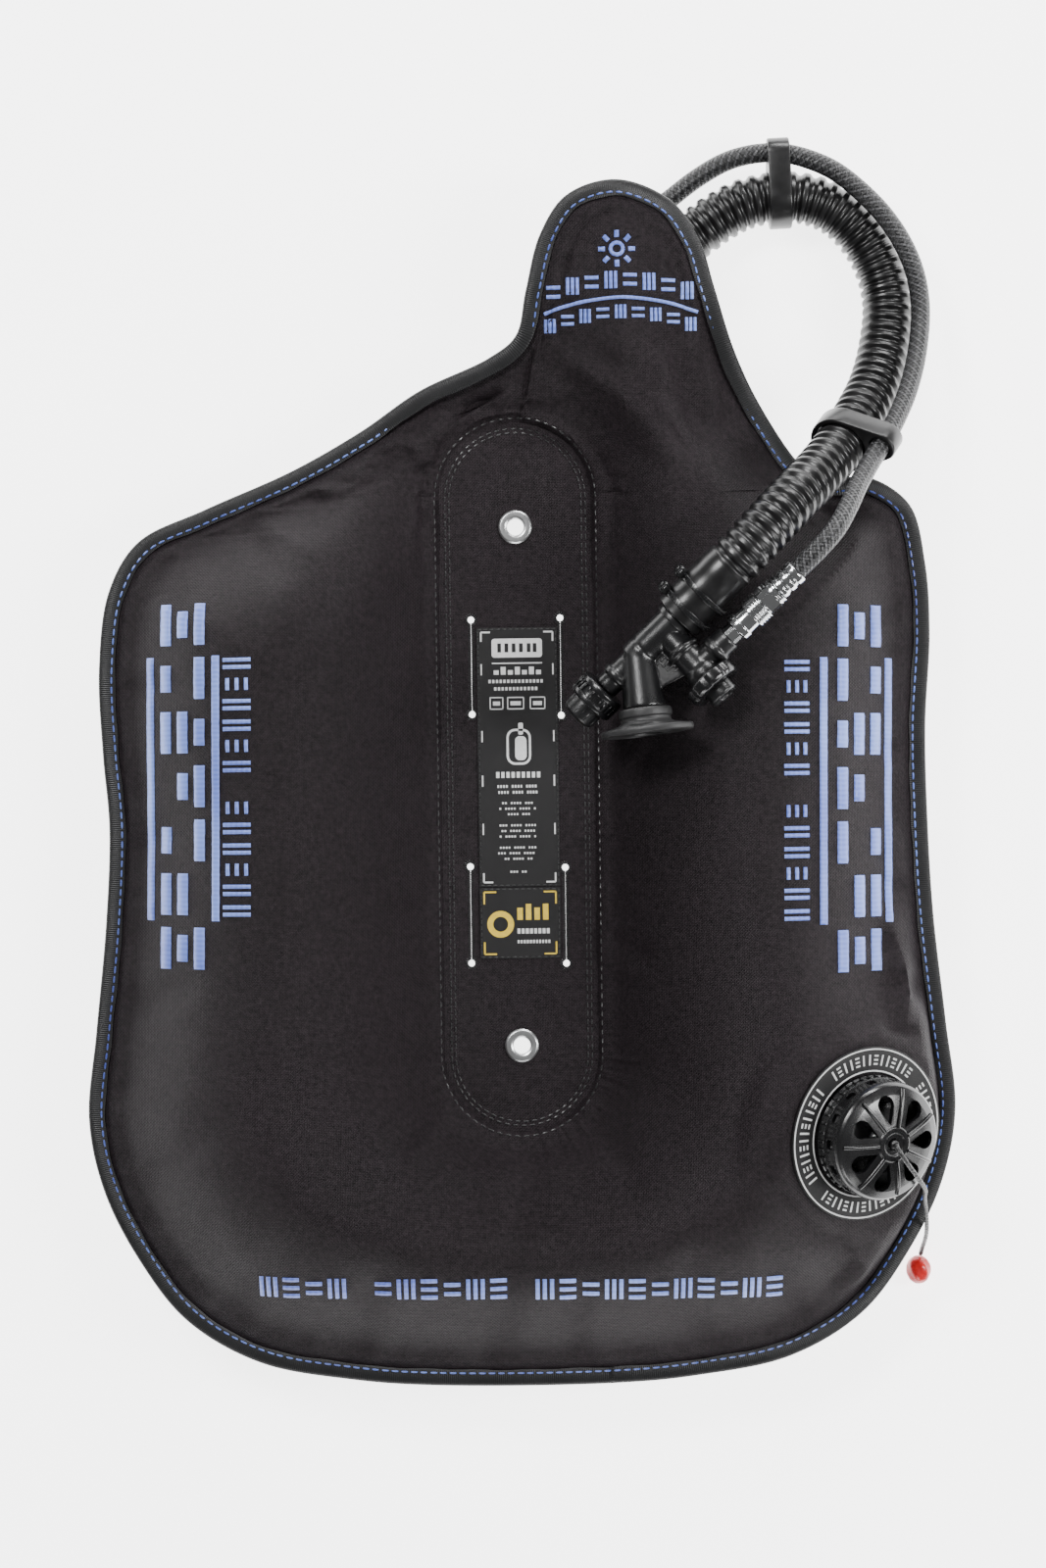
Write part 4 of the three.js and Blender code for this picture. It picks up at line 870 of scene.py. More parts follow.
def relax(grid, side, held, swell, pressure):
    """Lets a sheet settle as cloth cut a little too big, held where it is sewn. Returns how far it moved."""
    count, across = grid.shape[:2]
    mesh = bpy.data.meshes.new("settling_cloth")
    faces = grid_faces(count, across, side)
    mesh.from_pydata([tuple(p * MM * 10) for p in grid.reshape(-1, 3)], [], faces)
    cloth = bpy.data.objects.new("settling_cloth", mesh)
    bpy.context.scene.collection.objects.link(cloth)
    group = cloth.vertex_groups.new(name="sewn")
    for i, keep in enumerate(held.ravel()):
        if keep > 0:
            group.add([i], float(keep), "REPLACE")
    simulated = cloth.modifiers.new("cloth", "CLOTH")
    facts = simulated.settings
    facts.quality, facts.mass, facts.air_damping = 6, 0.4, 4.0
    facts.tension_stiffness = facts.compression_stiffness = 30
    facts.shear_stiffness, facts.bending_stiffness = 12, 2.5
    facts.vertex_group_mass, facts.pin_stiffness = "sewn", 1.0
    facts.shrink_min = facts.shrink_max = -swell
    facts.use_pressure, facts.uniform_pressure_force = True, pressure
    facts.effector_weights.gravity = 0
    simulated.collision_settings.use_collision = False
    simulated.point_cache.frame_start, simulated.point_cache.frame_end = 1, 20
    for number in range(1, 21):
        bpy.context.scene.frame_set(number)
    ready = cloth.evaluated_get(bpy.context.evaluated_depsgraph_get())
    moved_to = np.zeros(len(mesh.vertices) * 3)
    ready.data.vertices.foreach_get("co", moved_to)
    bpy.data.objects.remove(cloth)
    bpy.context.scene.frame_set(1)
    return moved_to.reshape(grid.shape) / (MM * 10) - grid


def grid_faces(count, across, side):
    faces = []
    for i in range(count):
        j = (i + 1) % count
        for k in range(across - 1):
            face = [i * across + k, i * across + k + 1, j * across + k + 1, j * across + k]
            faces.append(face if side < 0 else face[::-1])
    return faces


def finer(shift, count, shares, old_shares):
    """A coarse sheet's movement on a finer sheet's points."""
    old_count = shift.shape[0]
    at = np.arange(count) / count * old_count
    low = np.floor(at).astype(int)
    part = (at - low)[:, None, None]
    part = part * part * (3 - 2 * part)
    rows = shift[low % old_count] * (1 - part) + shift[(low + 1) % old_count] * part
    out = np.zeros((count, len(shares), 3))
    for axis in range(3):
        for i in range(count):
            out[i, :, axis] = np.interp(shares, old_shares, rows[i, :, axis])
    return out


STATIONS, COARSE_STATIONS = 640, 300    # places round the wing, on the made sheet and the simulated one
SWELL, PRESSURE, MOST_SETTLING = 0.028, 0.9, 5
BLADDER_ROOM = 1.7                      # least height of the cloth's outer face over the bladder
COARSE = list(np.linspace(0, 1, 25))
FINE = list(np.linspace(0, 1, 61))
HEM = [1 + 0.1 * k for k in (0.35, 0.7, 1)]


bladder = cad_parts["bladder"]
BLADDER_TREE = BVHTree.FromPolygons(
    [bladder.matrix_world @ v.co for v in bladder.data.vertices],
    [list(p.vertices) for p in bladder.data.polygons])


def clear_of_bladder(grid, rim, side):
    """How far each point has to move off the bladder, so that the cloth always covers it."""
    need = np.zeros(rim.shape)
    for i, j in np.argwhere(rim > 12):
        x, y, z = grid[i, j]
        hit = BLADDER_TREE.ray_cast(Vector((x * MM, y * MM, side * 0.4)), Vector((0, 0, -side)))[0]
        if hit is not None:
            need[i, j] = max(0, side * (hit.z / MM - z) + BLADDER_ROOM)
    for _ in range(2):
        need = np.max([np.roll(need, step, axis) for step in (-1, 0, 1) for axis in (0, 1)], axis=0)
    soft = need
    for _ in range(4):
        soft = np.mean([np.roll(soft, step, axis) for step in (-1, 0, 1) for axis in (0, 1)], axis=0)
    return np.maximum(need, soft) * ease(rim, 10, 14)


def sheet_points(face, side, creases, seed, seats):
    """One shell sheet's outer face: the drawn face, its settling as cloth, creases and gathers."""
    plan = sheet_plan(STATIONS, FINE)
    x, y = plan[..., 0], plan[..., 1]
    rim = to_edge(x, y)
    z = seated(plan, face, side)
    free = ease(rim, 9.5, 20)
    axis = np.clip(y, PANEL_BOTTOM, PANEL_TOP)
    free = free * ease(np.hypot(x, y - axis) - PANEL_RADIUS, 1, 8)
    for seat in seats:
        free = free * seat(x, y)
    shift = np.zeros(plan.shape[:2] + (3,))
    small = sheet_plan(COARSE_STATIONS, COARSE)
    sx, sy = small[..., 0], small[..., 1]
    heights = seated(small, face, side)
    srim = to_edge(sx, sy)
    inner = np.hypot(sx, sy - np.clip(sy, PANEL_BOTTOM, PANEL_TOP)) - PANEL_RADIUS
    held = 1 - ease(srim, 10, 15) * ease(inner, 1, 5)
    for seat in seats:
        held = np.maximum(held, 1 - seat(sx, sy))
    moved_by = relax(np.dstack([small, heights]), side, held, SWELL, PRESSURE)
    size = np.linalg.norm(moved_by, axis=2, keepdims=True)
    moved_by = moved_by * np.minimum(1, MOST_SETTLING / np.maximum(size, 1e-6))
    shift = finer(moved_by, STATIONS, FINE + HEM, COARSE + HEM)
    station = (np.arange(STATIONS) / STATIONS)[:, None]
    z = z + shift[..., 2] * free
    z = z - side * creased(x, y, creases) * free * (0.35 + 0.65 * ease(rim, 12, 30))
    z = z + side * puckers(x, y, rim, station, 0.34, seed) * ease(rim, 9.5, 15)
    grid = np.dstack([x + shift[..., 0] * free, y + shift[..., 1] * free, z])
    grid[..., 2] += side * clear_of_bladder(grid, rim, side)
    if side < 0:
        grid[..., 2] = np.maximum(grid[..., 2], 0.0)
    return grid


def valve_seat(x, y):
    return ease(valve_plane(x, y)[1], 49, 60)


def elbow_seat(x, y):
    return ease(np.hypot(x - ELBOW_AT[0], y - ELBOW_AT[1]), 26, 36)


def sheet_piece(name, grid, side, hole, replaces):
    """A shell sheet with its thickness. hole(x, y) is true where it is cut away."""
    count, across = grid.shape[:2]
    under = grid - np.array([0, 0, side * 1.0])
    outer = grid_faces(count, across, side)
    flat = grid.reshape(-1, 3)
    keep = [f for f in outer if not hole(*flat[f].mean(axis=0)[:2])]
    total = count * across
    used = {}
    for face in keep:
        for a, b in zip(face, face[1:] + face[:1]):
            used[(a, b)] = True
    faces = list(keep) + [[total + i for i in f[::-1]] for f in keep]
    faces += [[b, a, total + a, total + b] for a, b in used if (b, a) not in used]
    mesh = bpy.data.meshes.new(name)
    mesh.from_pydata([tuple(p * MM) for p in np.concatenate([flat, under.reshape(-1, 3)])], [], faces)
    drop_loose(mesh)
    return piece(name, mesh, CLOTH, slot="fabric", replaces=replaces, angle=55)


def drop_loose(mesh):
    """Drops points that no face uses."""
    work = bmesh.new()
    work.from_mesh(mesh)
    bmesh.ops.delete(work, geom=[v for v in work.verts if not v.link_faces], context="VERTS")
    work.to_mesh(mesh)
    work.free()


front_grid = sheet_points(front_face, 1, FRONT_CREASES, 5, [valve_seat])
back_grid = sheet_points(back_face, -1, BACK_CREASES, 8, [elbow_seat])
front = sheet_piece(
    "shell_front_cloth", front_grid, 1, lambda x, y: valve_plane(x, y)[1] < 26.5, ["shell_front"])
back = sheet_piece(
    "shell_back_cloth", back_grid, -1,
    lambda x, y: math.hypot(x - 58, y - 275) < 12.6 or (abs(y + 294) < 2.6 and abs(x) < 88), ["shell_back"])


def reader(made):
    mesh = made.data
    return BVHTree.FromPolygons([v.co for v in mesh.vertices], [list(p.vertices) for p in mesh.polygons])


FRONT_TREE, BACK_TREE = reader(front), reader(back)


def draped(x, y, lift, side=1):
    """A point that far above a sheet's outer face, in millimetres."""
    tree, down = (FRONT_TREE, -1) if side > 0 else (BACK_TREE, 1)
    hit, normal, _, _ = tree.ray_cast(Vector((x * MM, y * MM, -down * 0.4)), Vector((0, 0, down)))
    if hit is None:
        height = float(np.squeeze((front_face if side > 0 else back_face)(np.array([x]), np.array([y]))))
        return Vector((x, y, height + side * lift))
    return hit / MM + normal * (lift if normal.z * side > 0 else -lift)


def stitches(shape, line, dash, gap, width, stand, at):
    """A row of separate stitches along a plan line. at(x, y, lift) puts them on their cloth."""
    line = np.asarray(line, float)
    travelled = lengths(line)
    count = int(travelled[-1] / (dash + gap))
    for k in range(count):
        start = k * travelled[-1] / count + chance.uniform(-0.12, 0.12)
        share = np.linspace(start, start + dash * chance.uniform(0.94, 1.04), 6)
        xs, ys = (np.interp(share, travelled, line[:, i]) for i in (0, 1))
        run = []
        for i, (x, y) in enumerate(zip(xs, ys)):
            lift = stand * math.sin(math.pi * (i + 0.35) / 5.7) - 0.1
            run.append(tuple(at(x, y, lift)))
        taper = [width * s for s in (0.3, 0.47, 0.52, 0.52, 0.47, 0.3)]
        shape.tube(run, taper, around=6)
    return shape


def satin(shape, line, width, height, at):
    """A band of satin stitch along a plan line: a low rounded ridge with sewn ends."""
    line = np.asarray(line, float)
    travelled = lengths(line)
    count = max(4, int(travelled[-1] / 1.6))
    line = spaced(line, count)
    ahead = np.gradient(line, axis=0)
    ahead /= np.linalg.norm(ahead, axis=1)[:, None]
    side = np.stack([-ahead[:, 1], ahead[:, 0]], axis=1)
    across = [(-0.5, -0.35), (-0.47, 0.45), (-0.28, 0.9), (0, 1), (0.28, 0.9), (0.47, 0.45), (0.5, -0.35)]
    points, faces, uvs = [], [], []
    for i, (p, s) in enumerate(zip(line, side)):
        end = min(1.0, 0.35 + 0.65 * min(i, count - 1 - i))
        ragged = 1 + chance.uniform(-0.035, 0.035)
        for share, rise in across:
            x, y = p + s * share * width * ragged
            points.append(tuple(at(x, y, rise * height * end)))
            uvs.append((i / count * travelled[-1] * MM, share * width * MM))
    n = len(across)
    for i in range(count - 1):
        for k in range(n - 1):
            faces.append([i * n + k, (i + 1) * n + k, (i + 1) * n + k + 1, i * n + k + 1])
        faces.append([i * n, i * n + n - 1, (i + 1) * n + n - 1, (i + 1) * n])
    faces.append(list(range(n)))
    faces.append([(count - 1) * n + k for k in range(n)][::-1])
    return shape.add(points, faces, uvs)


# Sewn edge: a folded tape with rounded lips, a little wavy where the machine has pulled it.
rim, inward, _ = rims(700)
shape = Shape()
section = [
    (8.9, 1.75), (8.9, 2.55), (7.9, 2.85), (4.5, 2.8), (1.6, 2.75), (0.35, 2.1), (-0.05, 0.8),
    (-0.05, -0.8), (0.35, -2.1), (1.6, -2.75), (4.5, -2.8), (7.9, -2.85), (8.9, -2.55), (8.9, -1.75),
    (1.4, -1.6), (1.4, 1.6),
]
points, uvs, faces = [], [], []
walked = 0.0
for i, (p, into) in enumerate(zip(rim, inward)):
    sway = 0.22 * math.sin(i * 0.61) + 0.16 * math.sin(i * 0.237 + 1)
    walked += float(np.linalg.norm(rim[i] - rim[i - 1])) if i else 0.0
    for k, (into_by, up) in enumerate(section):
        x, y = p + into * (into_by + (sway if into_by > 7 else 0))
        points.append((x, y, float(seam_height(p[1])) + up + (0.12 * sway if abs(up) > 2.4 else 0)))
        uvs.append((walked * MM, k / len(section)))
n = len(section)
for i in range(len(rim)):
    j = (i + 1) % len(rim)
    for k in range(n):
        m = (k + 1) % n
        faces.append([i * n + k, j * n + k, j * n + m, i * n + m])
shape.add(points, faces, uvs).build(
    "edge_binding_tape", TAPE, slot="binding_tape", replaces=["edge_binding"], angle=50)


def inset(distance, count=900):
    """A line that far inside the wing's edge."""
    rim, inward, _ = rims(count)
    line = rim + inward * distance
    return np.concatenate([line, line[:1]])


def on_binding(x, y, lift):
    return Vector((x, y, float(seam_height(y)) + 2.82 + lift))


border = stitches(Shape(), inset(7.1), 3.5, 1.7, 1.0, 0.42, on_binding)
border.build("border_stitching", BLUE, slot="binding_tape")


def oval(radius, top=PANEL_TOP, bottom=PANEL_BOTTOM):
    ends = arc(0, top, radius, 0, math.pi, 40) + arc(0, bottom, radius, math.pi, 2 * math.pi, 40)
    return ends + [(radius, top)]


inner_seam = stitches(Shape(), oval(43.4), 3.0, 1.9, 0.85, 0.35, draped)
oval_seam = inner_seam.build("panel_stitching", BLACK_THREAD, slot="fabric")


# Embroidered bars and marks.
def bar(shape, x0, y0, x1, y1, width, height=0.85):
    return satin(shape, [(x0, y0), ((x0 + x1) / 2, (y0 + y1) / 2), (x1, y1)], width, height, draped)


def ladder(shape, x, y, wide, tall, count, width, height=0.7):
    """Short bars stacked one above another, none touching."""
    for k in range(count):
        at = y + tall * ((k + 0.5) / count - 0.5)
        bar(shape, x - wide / 2, at, x + wide / 2, at, width, height)


def uprights(shape, x, y, wide, tall, count, width, height=0.7):
    """Upright bars side by side, none touching."""
    for k in range(count):
        at = x + wide * ((k + 0.5) / count - 0.5)
        bar(shape, at, y - tall / 2, at, y + tall / 2, width, height)


def column(name, lines, bars, small, top, bottom, tilt):
    """A tall panel of embroidery: two long lines, blocks of bars between them, and a row of small marks."""
    shape = Shape()
    middle = (top + bottom) / 2
    line_top, line_foot = top - 30, bottom + 30
    for x in lines:
        bar(shape, x + tilt * (line_top - middle), line_top, x + tilt * (line_foot - middle), line_foot, 4.2)
    pitch = (top - bottom) / 7
    for k in range(7):
        high = top - k * pitch - 2
        low = high - pitch + 6.5
        for i in ((0, 1, 2), (0, 2), (0, 1, 2), (1, 2), (0, 2), (0, 1), (0, 1, 2))[k]:
            short = 4.0 if (i + k) % 3 == 1 else 0.0
            bar(shape, bars[i] + tilt * (high - middle), high - short,
                bars[i] + tilt * (low - middle), low + short, 6.0, 1.0)
    step = (top - bottom - 59) / 13
    x0, x1 = small
    for k in range(13):
        y = top - 29 - (k + 0.5) * step
        x = (x0 + x1) / 2 + tilt * (y - middle)
        if k % 3 == 1:
            uprights(shape, x, y, abs(x1 - x0), 6.4, 3, 2.1)
        elif k != 6:
            ladder(shape, x, y, abs(x1 - x0), 7.6, 2, 2.2)
    return shape.build(name, EMBROIDERY, slot="fabric", angle=60)


column("embroidery_left", (-196.5, -159.5), (-187.5, -178, -168.5), (-155.5, -140.5), 101, -99, 0.013)
column("embroidery_right", (198, 160.8), (190.5, 181, 171.5), (153, 139.5), 96, -105, 0.013)

shape = Shape()
for k in range(23):
    x = -136 + k * 12.2
    y = -265.5 - 0.0132 * x
    if k % 3 == 0:
        uprights(shape, x, y, 11.4, 11.4, 3, 2.3)
    elif k not in (4, 11):
        ladder(shape, x, y, 8.8, 14.0 if k % 3 == 1 else 10.4, 3 if k % 3 == 1 else 2, 2.3)
shape.build("embroidery_foot", EMBROIDERY, slot="fabric", angle=60)

shape = Shape()
for k in range(8):
    a, b = (math.cos(math.pi * k / 4), math.sin(math.pi * k / 4))
    bar(shape, 56 + 6.2 * a, 285.5 + 6.2 * b, 56 + 9.8 * a, 285.5 + 9.8 * b, 2.6, 0.8)
satin(shape, arc(56, 285.5, 3.4, 0, 2 * math.pi, 24), 2.2, 0.8, draped)


def bow(x, y):
    """A point on the lobe's arched rows."""
    return x, y - 0.0046 * (x - 58) ** 2


satin(shape, [bow(x, 259.5) for x in np.linspace(17, 99, 20)], 1.9, 0.7, draped)
for k in range(8):
    x = 22 + k * 10.2
    if k % 2:
        uprights(shape, *bow(x, 269), 7.6, 9.2, 3, 1.9)
    else:
        ladder(shape, *bow(x, 269), 7.4, 9.6, 2, 2.1)
for k in range(9):
    x = 20 + k * 9.4
    if k % 2:
        ladder(shape, *bow(x, 252), 6.8, 7.6, 2, 1.8)
    else:
        uprights(shape, *bow(x, 252), 6.8, 7.2, 3, 1.7)
shape.build("embroidery_lobe", EMBROIDERY, slot="fabric", angle=60)


# ---------------------------------------------------------------- centre panel, grommets and labels

SLOTS = [(-24.5, 39, 90), (23.5, 38, 90.5), (-26.5, -95, -43), (24.6, -95.7, -44)]
GROMMETS = {"upper": 139.7, "lower": -139.7}


def slot_outline(x, low, high, grow=0.0):
    """A slit with a round eye at each end."""
    eye, half = 1.9 + grow, 0.12 + grow
    spread = math.asin(half / eye)
    top = arc(x, high, eye, -math.pi / 2 + spread, 1.5 * math.pi - spread, 18)
    return top + arc(x, low, eye, math.pi / 2 + spread, 2.5 * math.pi - spread, 18)


holes = [slot_outline(*s) for s in SLOTS]
holes += [arc(0, y, 5.6, 0, 2 * math.pi, 33)[:-1] for y in GROMMETS.values()]
extruded(
    "centre_panel_cloth", [oval(42.2)[:-1]] + holes, 3.0, 0.35, moved(z=40), CLOTH,
    slot="fabric", replaces=["centre_panel"])

PANEL_TOP_FACE = 41.5


def on_panel(x, y, lift):
    return Vector((x, y, PANEL_TOP_FACE + lift))


# Binding round each slit: a close zigzag that holds the raw cloth.
shape = Shape()
for slit in SLOTS:
    line = slot_outline(*slit, grow=0.7)
    line = np.array(line + line[:1])
    travelled = lengths(line)
    for s in np.arange(0, travelled[-1], 0.95):
        p = np.array([np.interp(s, travelled, line[:, k]) for k in (0, 1)])
        q = np.array([np.interp(s + 0.5, travelled, line[:, k]) for k in (0, 1)])
        ahead = q - p
        ahead = ahead / (np.linalg.norm(ahead) + 1e-9)
        across = np.array([ahead[1], -ahead[0]]) * 0.85
        run = [on_panel(*(p - across), 0.05), on_panel(*p, 0.42), on_panel(*(p + across), 0.05)]
        shape.tube([tuple(r) for r in run], [0.2, 0.32, 0.2], around=5)
shape.build("slit_binding", BLACK_THREAD, slot="fabric")

# Two sewn lines that hold the panel to the shell's inner edge.
shape = stitches(Shape(), oval(37.8), 2.8, 1.7, 0.8, 0.35, on_panel)
stitches(shape, oval(35.6), 2.8, 1.7, 0.8, 0.35, on_panel)
shape.build("panel_edge_stitching", BLACK_THREAD, slot="fabric")

for name, y in GROMMETS.items():
    eyelet = [
        (4.4, 37.0), (5.3, 37.0), (5.3, 41.8), (9.25, 41.8), (9.1, 42.25), (8.05, 43.0), (5.75, 43.0),
        (4.75, 42.6), (4.4, 41.6), (4.4, 37.0),
    ]
    Shape(moved(y=y)).turned(eyelet, 64, ease=0.25).build(
        f"grommet_{name}_rolled", STEEL, slot="stainless", replaces=[f"grommet_{name}"])
    washer = [(5.6, 37.0), (9.2, 37.0), (9.2, 38.2), (5.6, 38.2), (5.6, 37.0)]
    Shape(moved(y=y)).turned(washer, 64, ease=0.25).build(
        f"grommet_{name}_plate", STEEL, slot="stainless", replaces=[f"grommet_{name}_washer"])

LABEL_TOP_FACE = 42.4


def rounded(x0, y0, x1, y1, radius):
    """A rectangle with round corners, as one outline."""
    return (
        arc(x1 - radius, y1 - radius, radius, 0, math.pi / 2, 6)
        + arc(x0 + radius, y1 - radius, radius, math.pi / 2, math.pi, 6)
        + arc(x0 + radius, y0 + radius, radius, math.pi, 1.5 * math.pi, 6)
        + arc(x1 - radius, y0 + radius, radius, 1.5 * math.pi, 2 * math.pi, 6)
    )


LONG_LABEL, SHORT_LABEL = (-54.0, 85.5), (-92.7, -54.5)
for name, node, (low, high) in (
        ("label_long", "label_main", LONG_LABEL), ("label_short", "label_patch", SHORT_LABEL)):
    extruded(name, [rounded(-21.7, low, 21.7, high, 0.6)], 0.6, 0.12, moved(z=42.1), LABEL,
             slot="label", replaces=[node])


def printed(shape, x0, y0, x1, y1):
    """One printed mark on a label."""
    centre = ((x0 + x1) / 2, (y0 + y1) / 2, LABEL_TOP_FACE + 0.04)
    return shape.block((x1 - x0, y1 - y0, 0.12), centre, ease=0.04)


def frame_marks(shape, low, high, reach=5.0, inset_by=2.4, wide=0.9):
    """Short lines at a label's corners."""
    for sx in (-1, 1):
        for y, inward_by in ((low, 1), (high, -1)):
            x = sx * (21.7 - inset_by)
            y += inward_by * inset_by
            x_end, y_end = x - sx * reach, y + inward_by * reach
            printed(shape, min(x, x_end), y - wide / 2, max(x, x_end), y + wide / 2)
            printed(shape, x - wide / 2, min(y, y_end), x + wide / 2, max(y, y_end))


shape = Shape()
frame_marks(shape, *LONG_LABEL)
for y0, y1 in ((66, 60), (30, 24), (6, 0), (-20, -26)):
    printed(shape, -19.7, y1, -18.9, y0)
    printed(shape, 18.9, y1, 19.7, y0)
for k in range(7):
    printed(shape, -12.6 + k * 3.8, 60.2, -9.9 + k * 3.8, 64.4 if k % 2 else 62.6)
printed(shape, -13.5, 66.0, 13.5, 66.7)
for y, half in ((56.6, 15.5), (52.6, 12.5)):
    for k in range(int(half)):
        printed(shape, -half + 2 * k, y - 0.9, -half + 2 * k + 1.3, y + 0.9)
for x0, x1 in ((-15, -7.6), (-5.6, 3.6), (6.6, 15)):
    for edge_y in (41.4, 47.6):
        printed(shape, x0, edge_y, x1, edge_y + 0.6)
    printed(shape, x0, 41.4, x0 + 0.6, 48.2)
    printed(shape, x1 - 0.6, 41.4, x1, 48.2)
    printed(shape, x0 + 1.8, 43.6, x1 - 1.8, 45.8)
for k in range(9):
    printed(shape, -12 + k * 2.75, 4.6, -10.2 + k * 2.75, 7.8)
for y, half in ((0, 13), (-3.2, 11), (-9, 9), (-12, 10.5), (-15, 7.5), (-21, 10.5), (-24, 9.5), (-27, 10.5),
                (-33, 10.5), (-36, 11.5), (-39, 8), (-46, 5)):
    tall = 0.75 if y > -5 else 0.55
    for k in range(int(half * 2 / 1.55)):
        if (k * 7 + int(y)) % 5:
            printed(shape, -half + 1.55 * k, y - tall, -half + 1.55 * k + 1.0, y + tall)
shape.build("label_long_print", WHITE_INK, slot="label")

flat = dict(slot="label")
white_tile = [rounded(-13.6, 69.4, 13.6, 79.6, 1.6)]
white_tile += [
    [(x, 72.2), (x + 2.0, 72.2), (x + 2.0, 77.0), (x, 77.0)] for x in (-10.5, -6.6, -2.7, 1.2, 5.4, 8.6)]
extruded("label_tile", white_tile, 0.14, 0.02, moved(z=42.46), WHITE_INK, **flat)
pictogram = [rounded(-6.2, 11.6, 7.0, 31.0, 4.6), rounded(-5.0, 12.8, 5.8, 29.8, 3.6)]
extruded("label_outline", pictogram, 0.14, 0.02, moved(z=42.46), WHITE_INK, **flat)
extruded("label_block", [rounded(-1.6, 14.0, 4.6, 27.0, 2.4)], 0.14, 0.02, moved(z=42.46), WHITE_INK, **flat)
extruded("label_cap", [rounded(0.2, 27.8, 2.8, 34.2, 0.8)], 0.14, 0.02, moved(z=42.46), WHITE_INK, **flat)

shape = Shape()
frame_marks(shape, *SHORT_LABEL, 6.5)
for k in range(4):
    printed(shape, -1.6 + k * 4.6, -72.0, 1.4 + k * 4.6, -63.4 if k % 2 else -65.4)
shape.build("label_short_yellow", YELLOW_INK, slot="label")
emblem = [arc(-10.6, -74.2, 7.2, 0, 2 * math.pi, 49)[:-1], arc(-10.6, -74.2, 4.0, 0, 2 * math.pi, 33)[:-1]]
extruded("label_short_ring", emblem, 0.14, 0.02, moved(z=42.46), YELLOW_INK, **flat)
shape = Shape()
for k in range(8):
    printed(shape, -1.6 + k * 2.25, -79.4, 0.0 + k * 2.25, -76.6)
for k in range(11):
    printed(shape, -1.6 + k * 1.65, -84.6, -0.5 + k * 1.65, -82.8)
shape.build("label_short_white", WHITE_INK, slot="label")


def on_label(x, y, lift):
    return Vector((x, y, LABEL_TOP_FACE + lift))


shape = Shape()
for low, high in (LONG_LABEL, SHORT_LABEL):
    low, high = low + 0.8, high - 0.8
    loop = [(-20.9, low), (20.9, low), (20.9, high), (-20.9, high), (-20.9, low)]
    stitches(shape, loop, 2.0, 1.3, 0.55, 0.25, on_label)
shape.build("label_stitching", BLACK_THREAD, slot="label")


# ---------------------------------------------------------------- zip

ZIP_Y = -294


def zip_line(y, stand, x0, x1, count=40):
    xs = np.linspace(x0, x1, count)
    heights = back_face(xs, np.full(count, float(y)))
    return [(x, y, h - stand) for x, h in zip(xs, heights)]


for name, node, inner, outer in (
        ("zip_tape_top", "zip_tape_upper", 2.8, 13.8), ("zip_tape_foot", "zip_tape_lower", -13.8, -2.8)):
    shape = Shape()
    points, faces, uvs = [], [], []
    ys = np.linspace(ZIP_Y + inner, ZIP_Y + outer, 7)
    rows = [zip_line(y, 1.2, -95, 95, 60) for y in ys]
    for k, row in enumerate(rows):
        for i, p in enumerate(row):
            wave = 0.12 * math.sin(i * 0.9 + k)
            points.append((p[0], p[1], p[2] - abs(wave)))
            uvs.append((p[0] * MM, k / 6))
    for k, row in enumerate(rows):
        for i, p in enumerate(row):
            points.append((p[0], p[1], p[2] - 0.75))
            uvs.append((p[0] * MM, k / 6))
    n, half = 60, 7 * 60
    for k in range(6):
        for i in range(n - 1):
            face = [k * n + i, k * n + i + 1, (k + 1) * n + i + 1, (k + 1) * n + i]
            faces += [face, [half + p for p in face[::-1]]]
    border_loop = list(range(n)) + [k * n + n - 1 for k in range(1, 7)]
    border_loop += [6 * n + i for i in range(n - 2, -1, -1)] + [k * n for k in range(5, 0, -1)]
    for a, b in zip(border_loop, border_loop[1:] + border_loop[:1]):
        faces.append([b, a, half + a, half + b])
    shape.add(points, faces, uvs).build(name, ZIP_CLOTH, slot="zip_tape", replaces=[node])

shape = Shape()
for i, x in enumerate(np.arange(-86, 86.1, 1.7)):
    (_, y, z), = zip_line(ZIP_Y, 2.0, x, x, 1)
    side = 1 if i % 2 else -1
    across = back_face(np.array([x, x]), np.array([ZIP_Y - 3.0, ZIP_Y + 3.0]))
    tilt = turn(math.atan2(float(np.diff(across)[0]), 6), "X")
    shape.block((1.15, 3.1, 1.3), (0, side * 0.9, 0), moved(x, y, z) @ tilt, ease=0.3)
shape.build("zip_teeth", ZIP_METAL, slot="zip_metal", replaces=["zip_chain"])


def on_zip_tape(x, y, lift):
    return Vector((x, y, float(back_face(np.array([x]), np.array([y]))[0]) - 1.98 - lift))


shape = Shape()
for offset in (5.5, 12.2, -5.5, -12.2):
    line = [(p[0], p[1]) for p in zip_line(ZIP_Y + offset, 2.0, -94, 94)]
    stitches(shape, line, 3.0, 1.8, 0.8, 0.35, on_zip_tape)
shape.build("zip_stitching", BLACK_THREAD, slot="zip_tape")
dress("zip_slider", ZIP_METAL)
dress("zip_pull", ZIP_CLOTH)


# ---------------------------------------------------------------- dump valve

VALVE = Matrix.Translation(Vector(VALVE_AT)) @ Vector((0, 0, 1)).rotation_difference(
    Vector((0.49062, -0.15491, 0.85749))).to_matrix().to_4x4()

